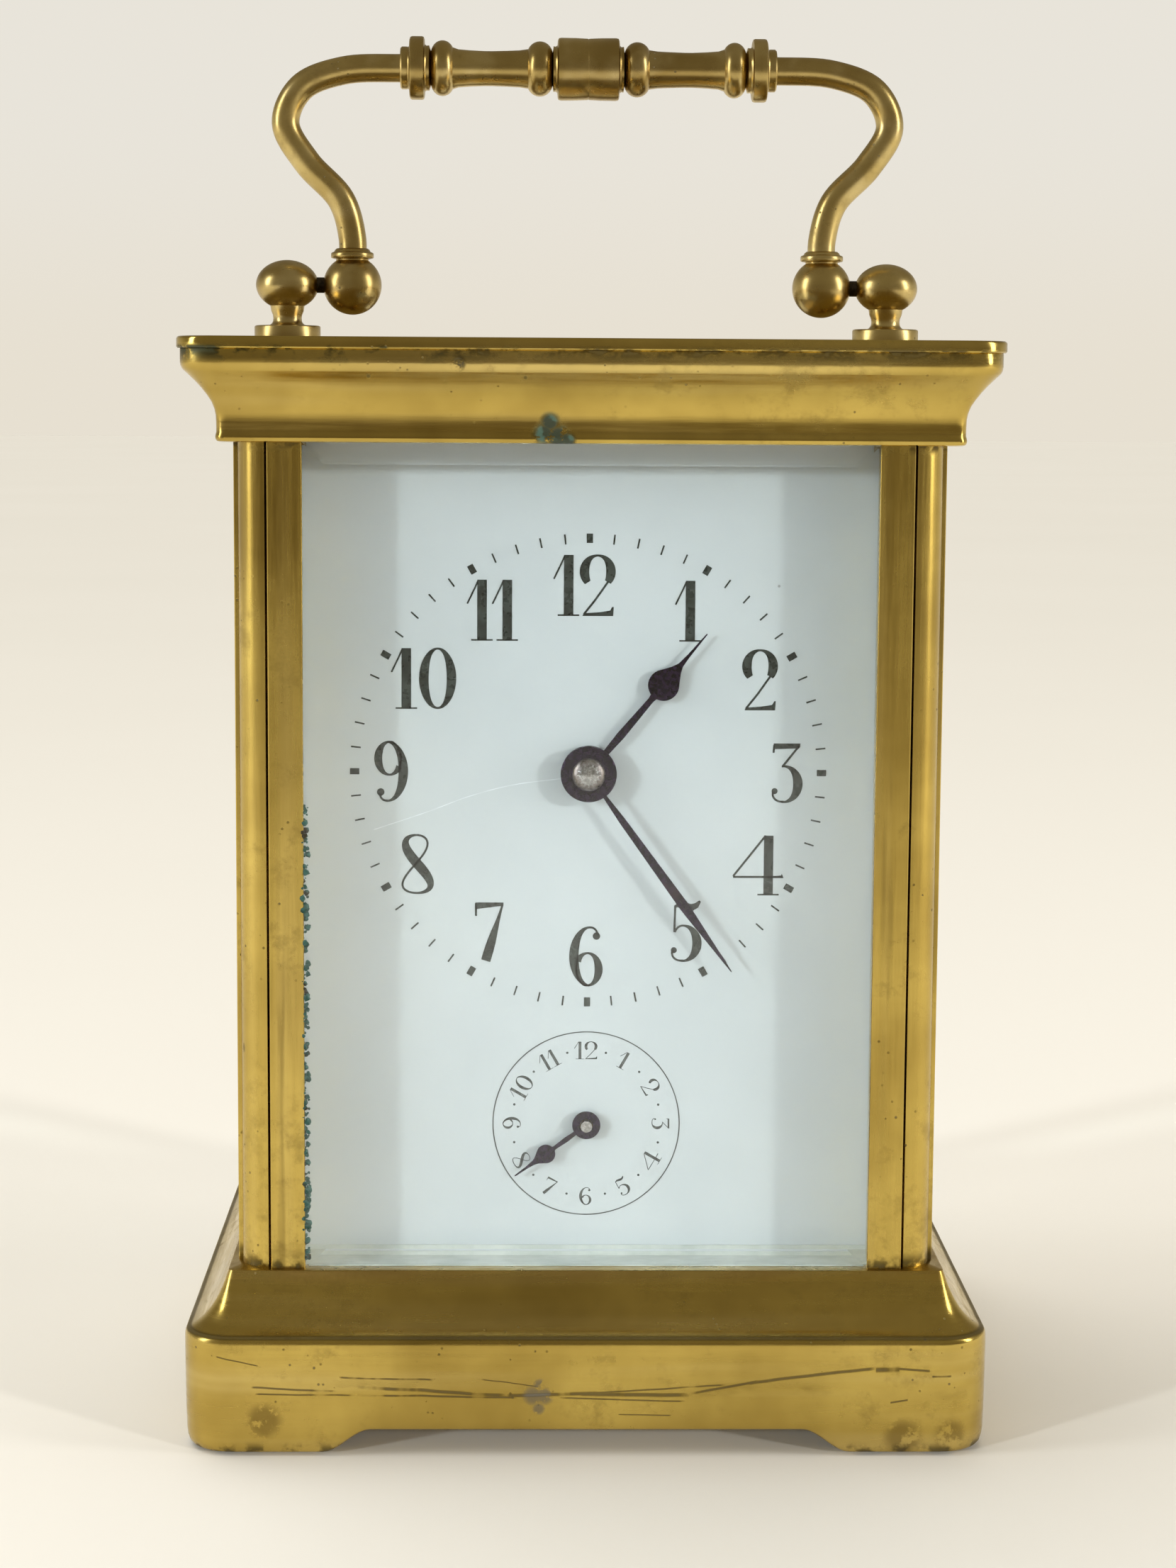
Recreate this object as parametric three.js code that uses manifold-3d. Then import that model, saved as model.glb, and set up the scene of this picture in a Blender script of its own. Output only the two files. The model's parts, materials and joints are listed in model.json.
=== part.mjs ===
// A French brass carriage clock with an alarm, as a three.js scene: a Group that holds one named Mesh
// for each piece. Millimetres, +Z up, the dial faces -Y. The origin is the middle of the underside.
import * as THREE from "three";
import { mergeVertices } from "three/addons/utils/BufferGeometryUtils.js";
import Module from "manifold-3d";

const wasm = await Module();
wasm.setup();

// ---------------------------------------------------------------- driving dimensions
// Overhangs are measured outwards from the outer faces of the corner pillars.
const PILLAR = { x: 36.8, y: 31, size: 7.3, strip: 3.7, step: 0.45 };
const BASE = { top: 18.4, overhang: 5.35, neck: 0.75, radius: 5.3, deck: 2, archTop: 2.4 };
const CORNICE = { bottom: 104.6, top: 114, neck: 1.4, fillet: 4.85, filletHeight: 2.3 };
const LID = { overhang: 5.2, thickness: 1.2, radius: 4.2, windowX: 22, windowY: 18 };
const GLASS = { thickness: 2.4, proud: 0.35, edge: 0.9, bevel: 3, lap: 0.8 };
const DOOR = { axisX: -28.1, axisY: 29.9, half: 1.2, latchX: 29.2, rail: 4.2, gap: 0.3, pivot: 0.7 };
const HANDLE = { pivotZ: 121.45, gripZ: 145.1, postX: 33.2, ballX: 26, ball: 3.23, rod: 1.53, end: 20.65 };
const DIAL = { face: -23, thickness: 1.3, halfX: 32, z0: 18.9, z1: 104.2, centreZ: 70.1, alarmZ: 32.3 };
const PLATES = { halfX: 27, z0: 18.4, z1: 94.4, front: -16.5, back: 14, thickness: 2 };
const PIVOT = 0.5; // radius of a wheel's pivot
const FIT = 0.08; // radial clearance of a running fit

const LID_TOP = CORNICE.top + LID.thickness;
const FRONT_INNER = PLATES.front + PLATES.thickness;
const BACK_INNER = PLATES.back - PLATES.thickness;
const DIAL_BACK = DIAL.face + DIAL.thickness;
const TURN = 2 * Math.PI;
const degrees = (angle) => (angle * Math.PI) / 180;

// ---------------------------------------------------------------- materials
const finish = (color, roughness, metalness) =>
  new THREE.MeshStandardMaterial({ color, roughness, metalness });
const CASE_BRASS = finish(0xc39a3a, 0.3, 1);
const HANDLE_BRASS = finish(0x8f7334, 0.4, 1);
const GILT = finish(0xd6b25e, 0.35, 1);
const STEEL = finish(0xa9adb2, 0.3, 1);
const BLUED_STEEL = finish(0x25203a, 0.35, 1);
const ENAMEL = finish(0xe4ebf0, 0.2, 0);
const BELL_METAL = finish(0xc0a878, 0.3, 1);
const CRYSTAL = new THREE.MeshStandardMaterial({
  color: 0xcfe3dc,
  roughness: 0.05,
  transparent: true,
  opacity: 0.35,
});

// ---------------------------------------------------------------- solids
// A geometry with only its positions, closed, with its faces pointing out.
function closed(geometry) {
  const bare = geometry.clone();
  bare.deleteAttribute("normal");
  bare.deleteAttribute("uv");
  const merged = mergeVertices(bare, 1e-4);
  if (signedVolume(merged) > 0) return merged;
  const index = merged.index.array;
  for (let i = 0; i < index.length; i += 3) {
    [index[i + 1], index[i + 2]] = [index[i + 2], index[i + 1]];
  }
  return merged;
}

function signedVolume(geometry) {
  const corner = [0, 1, 2].map(() => new THREE.Vector3());
  const index = geometry.index.array;
  let sum = 0;
  for (let i = 0; i < index.length; i += 3) {
    corner.forEach((point, k) => point.fromBufferAttribute(geometry.attributes.position, index[i + k]));
    sum += corner[0].dot(corner[1].clone().cross(corner[2])) / 6;
  }
  return sum;
}

function toManifold(geometry) {
  const body = closed(geometry);
  return new wasm.Manifold(
    new wasm.Mesh({
      numProp: 3,
      vertProperties: new Float32Array(body.attributes.position.array),
      triVerts: new Uint32Array(body.index.array),
    }),
  );
}

function fromManifold(manifold) {
  const { numProp, vertProperties, triVerts } = manifold.getMesh();
  const positions = new Float32Array((vertProperties.length / numProp) * 3);
  for (let i = 0; i < positions.length / 3; i++) {
    positions.set(vertProperties.subarray(i * numProp, i * numProp + 3), i * 3);
  }
  return new THREE.BufferGeometry()
    .setAttribute("position", new THREE.BufferAttribute(positions, 3))
    .setIndex(new THREE.BufferAttribute(new Uint32Array(triVerts), 1));
}

const join = (...pieces) => fromManifold(pieces.map(toManifold).reduce((a, b) => a.add(b)));
const cut = (body, ...tools) =>
  fromManifold(tools.map(toManifold).reduce((left, tool) => left.subtract(tool), toManifold(body)));

// A block from one corner to the opposite one.
function block(x0, x1, y0, y1, z0, z1) {
  const middle = [(x0 + x1) / 2, (y0 + y1) / 2, (z0 + z1) / 2];
  return new THREE.BoxGeometry(x1 - x0, y1 - y0, z1 - z0).translate(...middle);
}

// A shape drawn in (x, y), raised from z0 to z1.
function raise(shape, z0, z1, curveSegments = 6) {
  const settings = { depth: z1 - z0, bevelEnabled: false, curveSegments };
  return new THREE.ExtrudeGeometry(shape, settings).translate(0, 0, z0);
}

// A shape drawn in (x, z), thick from y0 to y1.
function slab(shape, y0, y1, curveSegments = 6) {
  return raise(shape, 0, y1 - y0, curveSegments).rotateX(Math.PI / 2).translate(0, y1, 0);
}

// Turned pieces. A profile is a list of [radius, place along the axis], closed on the axis or on itself.
function turned(profile, segments = 16) {
  return new THREE.LatheGeometry(profile.map(([r, along]) => new THREE.Vector2(r, along)), segments);
}
const turnedY = (profile, segments) => turned(profile, segments);
const turnedZ = (profile, segments) => turned(profile, segments).rotateX(Math.PI / 2);
const turnedX = (profile, segments) => turned(profile, segments).rotateZ(-Math.PI / 2);

// A rod as a profile: steps are [radius, end], each running from where the last one ended.
function rod(start, ...steps) {
  const profile = [[0, start]];
  let from = start;
  for (const [radius, to] of steps) {
    profile.push([radius, from], [radius, to]);
    from = to;
  }
  return [...profile, [0, from]];
}

// Points on an arc of an ellipse, as [radius, along], from angle a0 to a1 in degrees.
function arc(centreR, centreA, radiusR, radiusA, a0, a1, steps) {
  return Array.from({ length: steps + 1 }, (_, i) => {
    const angle = degrees(a0 + ((a1 - a0) * i) / steps);
    return [centreR + radiusR * Math.cos(angle), centreA + radiusA * Math.sin(angle)];
  });
}

// A shape from points [x, y], and one from points [radius, angle].
const outlined = (points) => new THREE.Shape(points.map(([x, y]) => new THREE.Vector2(x, y)));
const polar = (points) => outlined(points.map(([r, a]) => [r * Math.cos(a), r * Math.sin(a)]));
const circle = (x, y, radius) => new THREE.Path().absarc(x, y, radius, 0, TURN, true);
const hole = (x, z, radius, y0 = -40, y1 = 40) =>
  turnedY(rod(y0, [radius, y1]), 12).translate(x, 0, z);

// A piece drawn about its own axis, with the place where its mesh stands.
const placed = (geometry, { x = 0, y = 0, z = 0 }) => ({ geometry, position: [x, y, z] });

// ---------------------------------------------------------------- wheels
// The outline of a toothed wheel in its own plane. Flanks are straight, with room for a free mesh.
// phase is the direction of one tooth's middle.
function toothedOutline({ teeth, module, phase = 0, addendum = 0.85, dedendum = 1.15 }) {
  const pitchRadius = (teeth * module) / 2;
  const step = TURN / teeth;
  const root = pitchRadius - dedendum * module;
  const tip = pitchRadius + addendum * module;
  const flank = [
    [root, -0.25],
    [tip, -0.09],
    [tip, 0.09],
    [root, 0.25],
  ];
  const points = [];
  for (let tooth = 0; tooth < teeth; tooth++) {
    for (const [radius, part] of flank) {
      points.push([radius, phase + (tooth + part) * step]);
    }
  }
  return polar(points);
}

// Cuts the windows between the spokes out of a wheel's outline.
function crossOut(shape, spokes, hub, rim, spokeWidth) {
  const around = (radius, side, spoke) => {
    const half = Math.asin(spokeWidth / 2 / radius);
    return (TURN * (spoke + (side > 0 ? 0 : 1))) / spokes + side * half;
  };
  for (let spoke = 0; spoke < spokes; spoke++) {
    const window = new THREE.Path();
    window.absarc(0, 0, rim, around(rim, 1, spoke), around(rim, -1, spoke), false);
    window.absarc(0, 0, hub, around(hub, -1, spoke), around(hub, 1, spoke), true);
    window.closePath();
    shape.holes.push(window);
  }
  return shape;
}

// The phase that puts a wheel in mesh with its neighbour: a gap faces a tooth on the line of centres.
function meshedPhase(neighbour, wheel) {
  const line = Math.atan2(wheel.z - neighbour.z, wheel.x - neighbour.x);
  const facing = ((line - neighbour.phase) * neighbour.teeth) / TURN;
  return line + Math.PI - (TURN / wheel.teeth) * (0.5 - facing);
}

// ---------------------------------------------------------------- case
// A rectangle with rounded corners as a list of points, anticlockwise.
function roundedPlan(halfX, halfY, radius, steps = 3) {
  const corners = [
    [1, 1, 0],
    [-1, 1, 90],
    [-1, -1, 180],
    [1, -1, 270],
  ];
  return corners.flatMap(([sx, sy, from]) =>
    arc(sx * (halfX - radius), sy * (halfY - radius), radius, radius, from, from + 90, steps),
  );
}

const planShape = (...size) => outlined(roundedPlan(...size));

// A stack of loops with the same number of points, skinned and capped.
function loft(loops) {
  const count = loops[0].length;
  const positions = loops.flat(2);
  const index = [];
  for (let level = 0; level < loops.length - 1; level++) {
    for (let i = 0; i < count; i++) {
      const a = level * count + i;
      const b = level * count + ((i + 1) % count);
      index.push(a, b, b + count, a, b + count, a + count);
    }
  }
  const last = (loops.length - 1) * count;
  for (let i = 1; i < count - 1; i++) {
    index.push(0, i + 1, i, last, last + i, last + i + 1);
  }
  const geometry = new THREE.BufferGeometry();
  geometry.setAttribute("position", new THREE.Float32BufferAttribute(positions, 3));
  return geometry.setIndex(index);
}

// A moulding that runs round the case. Each level is [height, overhang]. Corners get tighter inwards.
function moulding(levels, widest, cornerRadius, least) {
  const loops = levels.map(([z, overhang]) => {
    const radius = Math.max(least, cornerRadius - (widest - overhang));
    return roundedPlan(PILLAR.x + overhang, PILLAR.y + overhang, radius).map(([x, y]) => [x, y, z]);
  });
  return loft(loops);
}

const levelsOf = (points) => points.map(([overhang, z]) => [z, overhang]);

// The low arch between two feet, from the ground up, with an ogee at each end.
function archShape(halfSpan) {
  const shape = new THREE.Shape();
  const run = 5; // how far the ogee takes to rise
  shape.moveTo(-halfSpan, -1);
  shape.lineTo(-halfSpan, 0);
  shape.bezierCurveTo(-halfSpan + 2.1, 0, -halfSpan + 1.9, BASE.archTop, -halfSpan + run, BASE.archTop);
  shape.lineTo(halfSpan - run, BASE.archTop);
  shape.bezierCurveTo(halfSpan - 1.9, BASE.archTop, halfSpan - 2.1, 0, halfSpan, 0);
  shape.lineTo(halfSpan, -1);
  return shape;
}

// Grooves that take the edges of the three fixed glasses, cut out of the base and the cornice.
function glassGrooves(z0, z1) {
  const inner = GLASS.thickness - GLASS.proud + 0.15;
  const outer = inner - GLASS.edge - 0.6;
  const alongX = PILLAR.x - PILLAR.size + GLASS.lap + 0.15;
  const alongY = PILLAR.y - PILLAR.size + GLASS.lap + 0.15;
  return [
    block(-alongX, alongX, -PILLAR.y + outer, -PILLAR.y + inner, z0, z1),
    block(-PILLAR.x + outer, -PILLAR.x + inner, -alongY, alongY, z0, z1),
    block(PILLAR.x - inner, PILLAR.x - outer, -alongY, alongY, z0, z1),
  ];
}

const doorPivotHole = (z0, z1) =>
  turnedZ(rod(z0, [DOOR.pivot + FIT, z1])).translate(DOOR.axisX, DOOR.axisY, 0);

function base() {
  const cove = arc(5.2, 18.1, -4.45, -5.65, 90, 0, 5);
  const wall = [[4.6, 0], [5.05, 0.5], [5.25, 1.6], [BASE.overhang, 10], [BASE.overhang, 12.1]];
  const levels = levelsOf([...wall, ...cove, [BASE.neck, BASE.top]]);
  const body = moulding(levels, BASE.overhang, BASE.radius, 0.8);
  const deckUnder = BASE.top - BASE.deck;
  return cut(
    body,
    raise(planShape(39.2, 33.4, 2.5, 1), -1, 11),
    raise(planShape(35.5, 29.7, 2, 1), 10.9, deckUnder),
    raise(planShape(25, 10, 2, 1), deckUnder - 0.1, BASE.top + 1),
    slab(archShape(27.5), -50, 50),
    slab(archShape(21.7), -50, 50).rotateZ(Math.PI / 2),
    ...glassGrooves(BASE.top - 1, BASE.top + 1),
    doorPivotHole(deckUnder - 1, BASE.top + 1),
  );
}

const baseBottomPlate = () => raise(planShape(38.9, 33.1, 2.2, 1), 2.8, 3.8);

// The plan of one corner pillar, for the corner towards sx, sy: two flat strips beside a rounded corner.
function pillarShape(sx, sy, hasFrontGlass) {
  const { size, strip, step } = PILLAR;
  const near = GLASS.thickness - GLASS.proud + 0.15;
  const far = near - GLASS.edge - 0.65;
  const depth = GLASS.lap + 0.15;
  const groove = [[size, far], [size - depth, far], [size - depth, near], [size, near]];
  const round = arc(strip, strip, -(strip - step), -(strip - step), 90, 0, 6);
  const points = [[size, 0], [strip, 0], ...round, [0, strip], [0, size]];
  points.push(...groove.map(([a, b]) => [b, a]), [size, size]);
  if (hasFrontGlass) points.push(...groove.reverse());
  return outlined(points.map(([u, v]) => [sx * (PILLAR.x - u), sy * (PILLAR.y - v)]));
}

const pillar = (sx, sy) => raise(pillarShape(sx, sy, sy < 0), BASE.top, CORNICE.bottom);

function cornice() {
  const { bottom, top, neck, fillet, filletHeight } = CORNICE;
  const foot = arc(neck - 1.1, bottom + 0.9, 1.1, 0.9, -90, 0, 3);
  const coveTop = top - filletHeight;
  const cove = arc(4.5, bottom + 0.9, -3.1, coveTop - bottom - 0.9, 0, 90, 5);
  const outline = [...foot, ...cove.slice(1), [fillet, coveTop + 0.15], [fillet, top]];
  return cut(
    moulding(levelsOf(outline), LID.overhang, LID.radius, 1.2),
    raise(planShape(29, 23, 2, 1), bottom - 1, 111),
    raise(planShape(23, 19, 2, 1), 110.9, top + 1),
    raise(planShape(25.3, 21.3, 1, 3), 111.8, top + 1),
    ...glassGrooves(bottom - 1, bottom + 1),
    doorPivotHole(bottom - 1, bottom + 1.8),
    ...[-1, 1].map((side) => turnedZ(rod(108.9, [1.2, top + 1])).translate(side * HANDLE.postX, 0, 0)),
  );
}

function topPlate() {
  const plate = planShape(PILLAR.x + LID.overhang, PILLAR.y + LID.overhang, LID.radius, 6);
  const window = planShape(LID.windowX, LID.windowY, 2.5, 4).getPoints().reverse();
  plate.holes.push(new THREE.Path(window));
  for (const side of [-1, 1]) plate.holes.push(circle(side * HANDLE.postX, 0, 1.2));
  return raise(plate, CORNICE.top, LID_TOP, 4);
}

// A bevelled pane lying in (x, y): its flat back at 0, its thin edge, and the raised middle.
function pane(halfX, halfY, thickness, edge, bevel) {
  const loop = (x, y, z) => roundedPlan(x, y, 0.3, 1).map(([px, py]) => [px, py, z]);
  return loft([
    loop(halfX, halfY, 0),
    loop(halfX, halfY, edge),
    loop(halfX - bevel, halfY - bevel, thickness),
  ]);
}

const GLASS_HALF_Z = (CORNICE.bottom - BASE.top) / 2 + GLASS.lap;
const GLASS_MIDDLE_Z = (CORNICE.bottom + BASE.top) / 2;
const OPENING_X = PILLAR.x - PILLAR.size + GLASS.lap;
const OPENING_Y = PILLAR.y - PILLAR.size + GLASS.lap;
const uprightPane = (half) =>
  pane(half, GLASS_HALF_Z, GLASS.thickness, GLASS.edge, GLASS.bevel).rotateX(Math.PI / 2);

const frontGlass = () =>
  placed(uprightPane(OPENING_X), { y: GLASS.thickness - GLASS.proud - PILLAR.y, z: GLASS_MIDDLE_Z });
const sideGlass = (side) =>
  placed(uprightPane(OPENING_Y).rotateZ((side * Math.PI) / 2), {
    x: side * (PILLAR.x + GLASS.proud - GLASS.thickness),
    z: GLASS_MIDDLE_Z,
  });
const topGlass = () => placed(pane(25, 21, 2.1, 0.9, 5), { z: 111.85 });

// ---------------------------------------------------------------- rear door
const DOOR_Z0 = BASE.top + DOOR.gap;
const DOOR_Z1 = CORNICE.bottom - DOOR.gap;
const DOOR_BACK = DOOR.axisY + DOOR.half;
const DOOR_FACE = DOOR.axisY - DOOR.half;

// The hinge stile has a half-round edge about the axis, with a pivot at each end.
function rearDoorFrame() {
  const { axisX, axisY, half, latchX, rail, pivot } = DOOR;
  const plan = new THREE.Shape();
  plan.moveTo(latchX, -half);
  plan.lineTo(latchX, half);
  plan.lineTo(axisX, half);
  plan.absarc(axisX, 0, half, Math.PI / 2, 1.5 * Math.PI, false);
  const left = axisX - half + rail;
  const right = latchX - rail;
  const [low, high] = [DOOR_Z0 + rail, DOOR_Z1 - rail];
  const leaf = cut(
    raise(plan, DOOR_Z0, DOOR_Z1).translate(0, axisY, 0),
    block(left, right, DOOR_FACE - 1, DOOR_BACK + 1, low, high),
    block(left - 1.4, right + 1.4, DOOR_FACE - 1, DOOR_BACK - 0.5, low - 1.4, high + 1.4),
  );
  const pin = (z0, z1) => turnedZ(rod(z0, [pivot, z1])).translate(axisX, axisY, 0);
  return join(leaf, pin(BASE.top - 1.5, DOOR_Z0 + 0.5), pin(DOOR_Z1 - 0.5, CORNICE.bottom + 1.5));
}

function rearDoorGlass() {
  const left = DOOR.axisX - DOOR.half + DOOR.rail;
  const right = DOOR.latchX - DOOR.rail;
  const halfZ = (DOOR_Z1 - DOOR_Z0) / 2 - DOOR.rail + 1.2;
  const leaf = pane((right - left) / 2 + 1.2, halfZ, 2, 1.2, 3).rotateX(-Math.PI / 2);
  return placed(leaf, { x: (left + right) / 2, y: DOOR_FACE + 0.1, z: GLASS_MIDDLE_Z });
}

function rearDoorKnob() {
  const start = DOOR_BACK;
  const ball = arc(0, start + 3.1, 2, 1.9, -55, 90, 5);
  const knob = turnedY([[0, start], [1.7, start], [1.7, start + 0.5], [1, start + 0.9], ...ball], 12);
  return placed(knob, { x: DOOR.latchX - DOOR.rail / 2, z: GLASS_MIDDLE_Z });
}

// ---------------------------------------------------------------- handle
// A post through the lid: threaded stud, flange, neck, flattened ball, and the pivot pin it carries inwards.
function handlePost(side) {
  const { pivotZ, postX, ballX } = HANDLE;
  const ball = arc(0, pivotZ, 3.46, 2.73, -62, 90, 7);
  const profile = [[0, 109], [1.1, 109], [1.1, LID_TOP], [3.65, LID_TOP], [3.65, LID_TOP + 1.2]];
  profile.push([2.5, LID_TOP + 1.5], [1.7, LID_TOP + 2], [1.55, LID_TOP + 2.7], ...ball);
  const post = turnedZ(profile, 12).translate(side * postX, 0, 0);
  const pin = turnedX(rod(ballX - 1.8, [0.62, postX]), 12).translate(0, 0, pivotZ);
  return join(post, side < 0 ? pin.rotateZ(Math.PI) : pin);
}

// The right-hand arm: a ball on the pivot pin, a collar, and the swan-necked rod up to the grip.
function handleArm(side) {
  const { pivotZ, gripZ, ballX, ball, rod: rodRadius, end } = HANDLE;
  const bend = [
    [ballX, pivotZ + 2.4],
    [ballX, pivotZ + 5.2],
    [27.2, pivotZ + 9.3],
    [31, pivotZ + 13.4],
    [33.3, pivotZ + 17.6],
    [31.6, pivotZ + 21.4],
    [27, gripZ - 0.35],
    [end - 1, gripZ],
  ];
  const path = new THREE.CatmullRomCurve3(bend.map(([x, z]) => new THREE.Vector3(x, 0, z)));
  const section = outlined(arc(0, 0, rodRadius, rodRadius, 0, 315, 7));
  const tube = new THREE.ExtrudeGeometry(section, { steps: 15, extrudePath: path });
  const collar = [[2.36, pivotZ + 2.9], [2.36, pivotZ + 3.5], [1.9, pivotZ + 4], [0, pivotZ + 4]];
  const profile = [...arc(0, pivotZ, ball, ball, -90, 50, 6), [1.7, pivotZ + 2.75], ...collar];
  const foot = turnedZ(profile, 12).translate(ballX, 0, 0);
  const bore = turnedX(rod(ballX - 2.1, [0.62 + FIT, ballX + 5]), 12).translate(0, 0, pivotZ);
  const arm = cut(join(foot, tube), bore);
  return side < 0 ? arm.rotateZ(Math.PI) : arm;
}

// The turned grip: a drum in the middle, and on each side a bead, a waist, a bead, a disc and a ring.
function handleGrip() {
  const half = [
    [3.38, 0],
    [3.38, 3.35],
    [2.5, 3.5],
    [2.5, 4],
    ...arc(1.6, 5.4, 1.42, 1.4, -90, 60, 3),
    [1.9, 11],
    ...arc(1.6, 16, 1.42, 1.3, -60, 90, 3),
    [2.5, 17.45],
    [2.5, 18],
    [3.4, 18.1],
    [3.4, 19.6],
    [2.3, 19.75],
    [2.3, HANDLE.end],
    [1.64, HANDLE.end],
    [1.64, HANDLE.end - 1.4],
    [0, HANDLE.end - 1.4],
  ];
  const mirrored = half.slice(1).reverse().map(([r, x]) => [r, -x]);
  return placed(turnedX([...mirrored, ...half.slice(1)], 10), { z: HANDLE.gripZ });
}

// ---------------------------------------------------------------- where the wheels are
// Every wheel is {x, z, teeth, module, phase}. It takes its phase from the wheel that it meshes with.
const at = (from, distance, angle) => ({
  x: from.x + distance * Math.cos(degrees(angle)),
  z: from.z + distance * Math.sin(degrees(angle)),
});
const reach = (moduleSize, teethA, teethB) => (moduleSize * (teethA + teethB)) / 2;
const meshing = (neighbour, place, teeth) => {
  const wheel = { ...place, teeth, module: neighbour.module };
  return { ...wheel, phase: meshedPhase(neighbour, wheel) };
};

const CENTRE = { x: 0, z: DIAL.centreZ };
const GREAT_WHEEL = { ...at(CENTRE, reach(0.75, 48, 6), 243.6), teeth: 48, module: 0.75, phase: 0 };
const CENTRE_PINION = meshing(GREAT_WHEEL, CENTRE, 6);
const CENTRE_WHEEL = { ...CENTRE, teeth: 48, module: 0.48, phase: 0 };
const THIRD_PINION = meshing(CENTRE_WHEEL, at(CENTRE, reach(0.48, 48, 6), 22.2), 6);
const THIRD_WHEEL = { ...THIRD_PINION, teeth: 45, module: 0.4, phase: 0 };
const CONTRATE_REACH = reach(0.4, 45, 6) + 0.12; // a little wide, so that the six leaves run clear
const CONTRATE_PINION = meshing(THIRD_WHEEL, at(THIRD_WHEEL, CONTRATE_REACH, 130), 6);
const CONTRATE = { x: CONTRATE_PINION.x, z: CONTRATE_PINION.z, teeth: 40, radius: 9 };

const CANNON = { ...CENTRE, teeth: 8, module: 0.6, phase: 0 };
const MINUTE_WHEEL = meshing(CANNON, at(CENTRE, reach(0.6, 8, 24), 135), 24);
const MINUTE_PINION = { ...MINUTE_WHEEL, teeth: 6, module: 0.64, phase: 0 };
const HOUR_WHEEL = meshing(MINUTE_PINION, CENTRE, 24);
const ALARM = { x: 0, z: DIAL.alarmZ };
const IDLER_REACH = reach(HOUR_WHEEL.module, HOUR_WHEEL.teeth, 36);
const IDLER_LEAN = Math.acos((CENTRE.z - ALARM.z) / 2 / IDLER_REACH);
const IDLER = meshing(HOUR_WHEEL, at(CENTRE, IDLER_REACH, 270 + (IDLER_LEAN * 180) / Math.PI), 36);
const ALARM_WHEEL = meshing(IDLER, ALARM, HOUR_WHEEL.teeth);

const ALARM_BARREL = { x: 17.5, z: 44, teeth: 24, module: 0.64, phase: 0 };
const ALARM_SCAPE = meshing(ALARM_BARREL, at(ALARM_BARREL, reach(0.64, 24, 6), -70), 6);
const HAMMER = { x: 16, z: 26 };
const STUDS = [
  [-23, 23],
  [23, 23],
  [-23, 90],
  [23, 90],
];

// ---------------------------------------------------------------- movement frame
function movementPlate(y0) {
  const { halfX, z0, z1, thickness } = PLATES;
  const shape = planShape(halfX, (z1 - z0) / 2, 1.5, 3);
  return slab(shape, y0, y0 + thickness).translate(0, 0, (z0 + z1) / 2);
}

const pivotHoles = (places, radius) => places.map(({ x, z }) => hole(x, z, radius));
const PIVOTED = [THIRD_PINION, CONTRATE, ALARM_SCAPE, HAMMER];

// Both plates carry the same row of holes, so that the arbors stand square.
function drilled(plate) {
  return cut(
    plate,
    ...pivotHoles(PIVOTED, PIVOT + FIT),
    ...pivotHoles([CENTRE, GREAT_WHEEL, ALARM_BARREL], 1.4 + FIT),
    ...pivotHoles([ALARM], 0.8 + FIT),
  );
}

// The front plate also carries the studs on which the minute wheel and the idler turn.
function frontPlate() {
  const stud = ({ x, z }) =>
    turnedY(rod(PLATES.front - 4, [0.9, PLATES.front + 0.5]), 12).translate(x, 0, z);
  return join(drilled(movementPlate(PLATES.front)), stud(MINUTE_WHEEL), stud(IDLER));
}

const backPlate = () => drilled(movementPlate(BACK_INNER));

// A turned pillar between the plates, with a shoulder at each end.
function movementPillar([x, z]) {
  const [front, back] = [FRONT_INNER, BACK_INNER];
  const waist = [[2.2, front + 2], [1.6, front + 3.5], [1.6, back - 3.5], [2.2, back - 2]];
  const profile = [[0, front], [2.2, front], ...waist, [2.2, back], [0, back]];
  return placed(turnedY(profile, 10), { x, z });
}

// An arbor that runs between the plates, on thin pivots.
function arbor(radius) {
  const body = [radius, BACK_INNER - 0.2];
  const pivots = [[PIVOT, FRONT_INNER + 0.2], [PIVOT, PLATES.back - 0.3]];
  return turnedY(rod(PLATES.front + 0.3, pivots[0], body, pivots[1]), 10);
}

const toothed = (wheel, y0, y1) => slab(toothedOutline(wheel), y0, y1);
const crossed = (wheel, y0, y1, spokes, hub, rim, width) =>
  slab(crossOut(toothedOutline(wheel), spokes, hub, rim, width), y0, y1, 2);
const bored = (geometry, radius) => cut(geometry, hole(0, 0, radius));

// ---------------------------------------------------------------- going train
const DRUM = { radius: 15.5, y0: -12.7, wheel: 1.4, y1: 6.5, wall: 0.9, arbor: 2 };

// The barrel is a drum closed at both ends, with the great wheel round its front end.
function goingBarrel() {
  const { radius, y0, wheel, y1, wall, arbor: inner } = DRUM;
  const bore = inner + FIT;
  const drum = turnedY([
    [bore, y0],
    [radius, y0],
    [radius, y1],
    [bore, y1],
    [bore, y1 - wall],
    [radius - wall, y1 - wall],
    [radius - wall, y0 + wheel],
    [bore, y0 + wheel],
    [bore, y0],
  ], 20);
  const rim = slab(toothedOutline(GREAT_WHEEL), y0, y0 + wheel);
  return placed(join(drum, cut(rim, turnedY(rod(y0 - 1, [radius - 1, y1]), 20))), GREAT_WHEEL);
}

// A coiled strip: a spiral centre line thickened on both sides.
function coil(inner, outer, turns, thickness, stepsPerTurn) {
  const count = Math.round(turns * stepsPerTurn);
  const side = (offset) =>
    Array.from({ length: count + 1 }, (_, i) => {
      const angle = (TURN * i) / stepsPerTurn;
      const radius = inner + ((outer - inner) * i) / count + offset;
      return new THREE.Vector2(radius * Math.cos(angle), radius * Math.sin(angle));
    });
  return new THREE.Shape([...side(thickness / 2), ...side(-thickness / 2).reverse()]);
}

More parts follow.
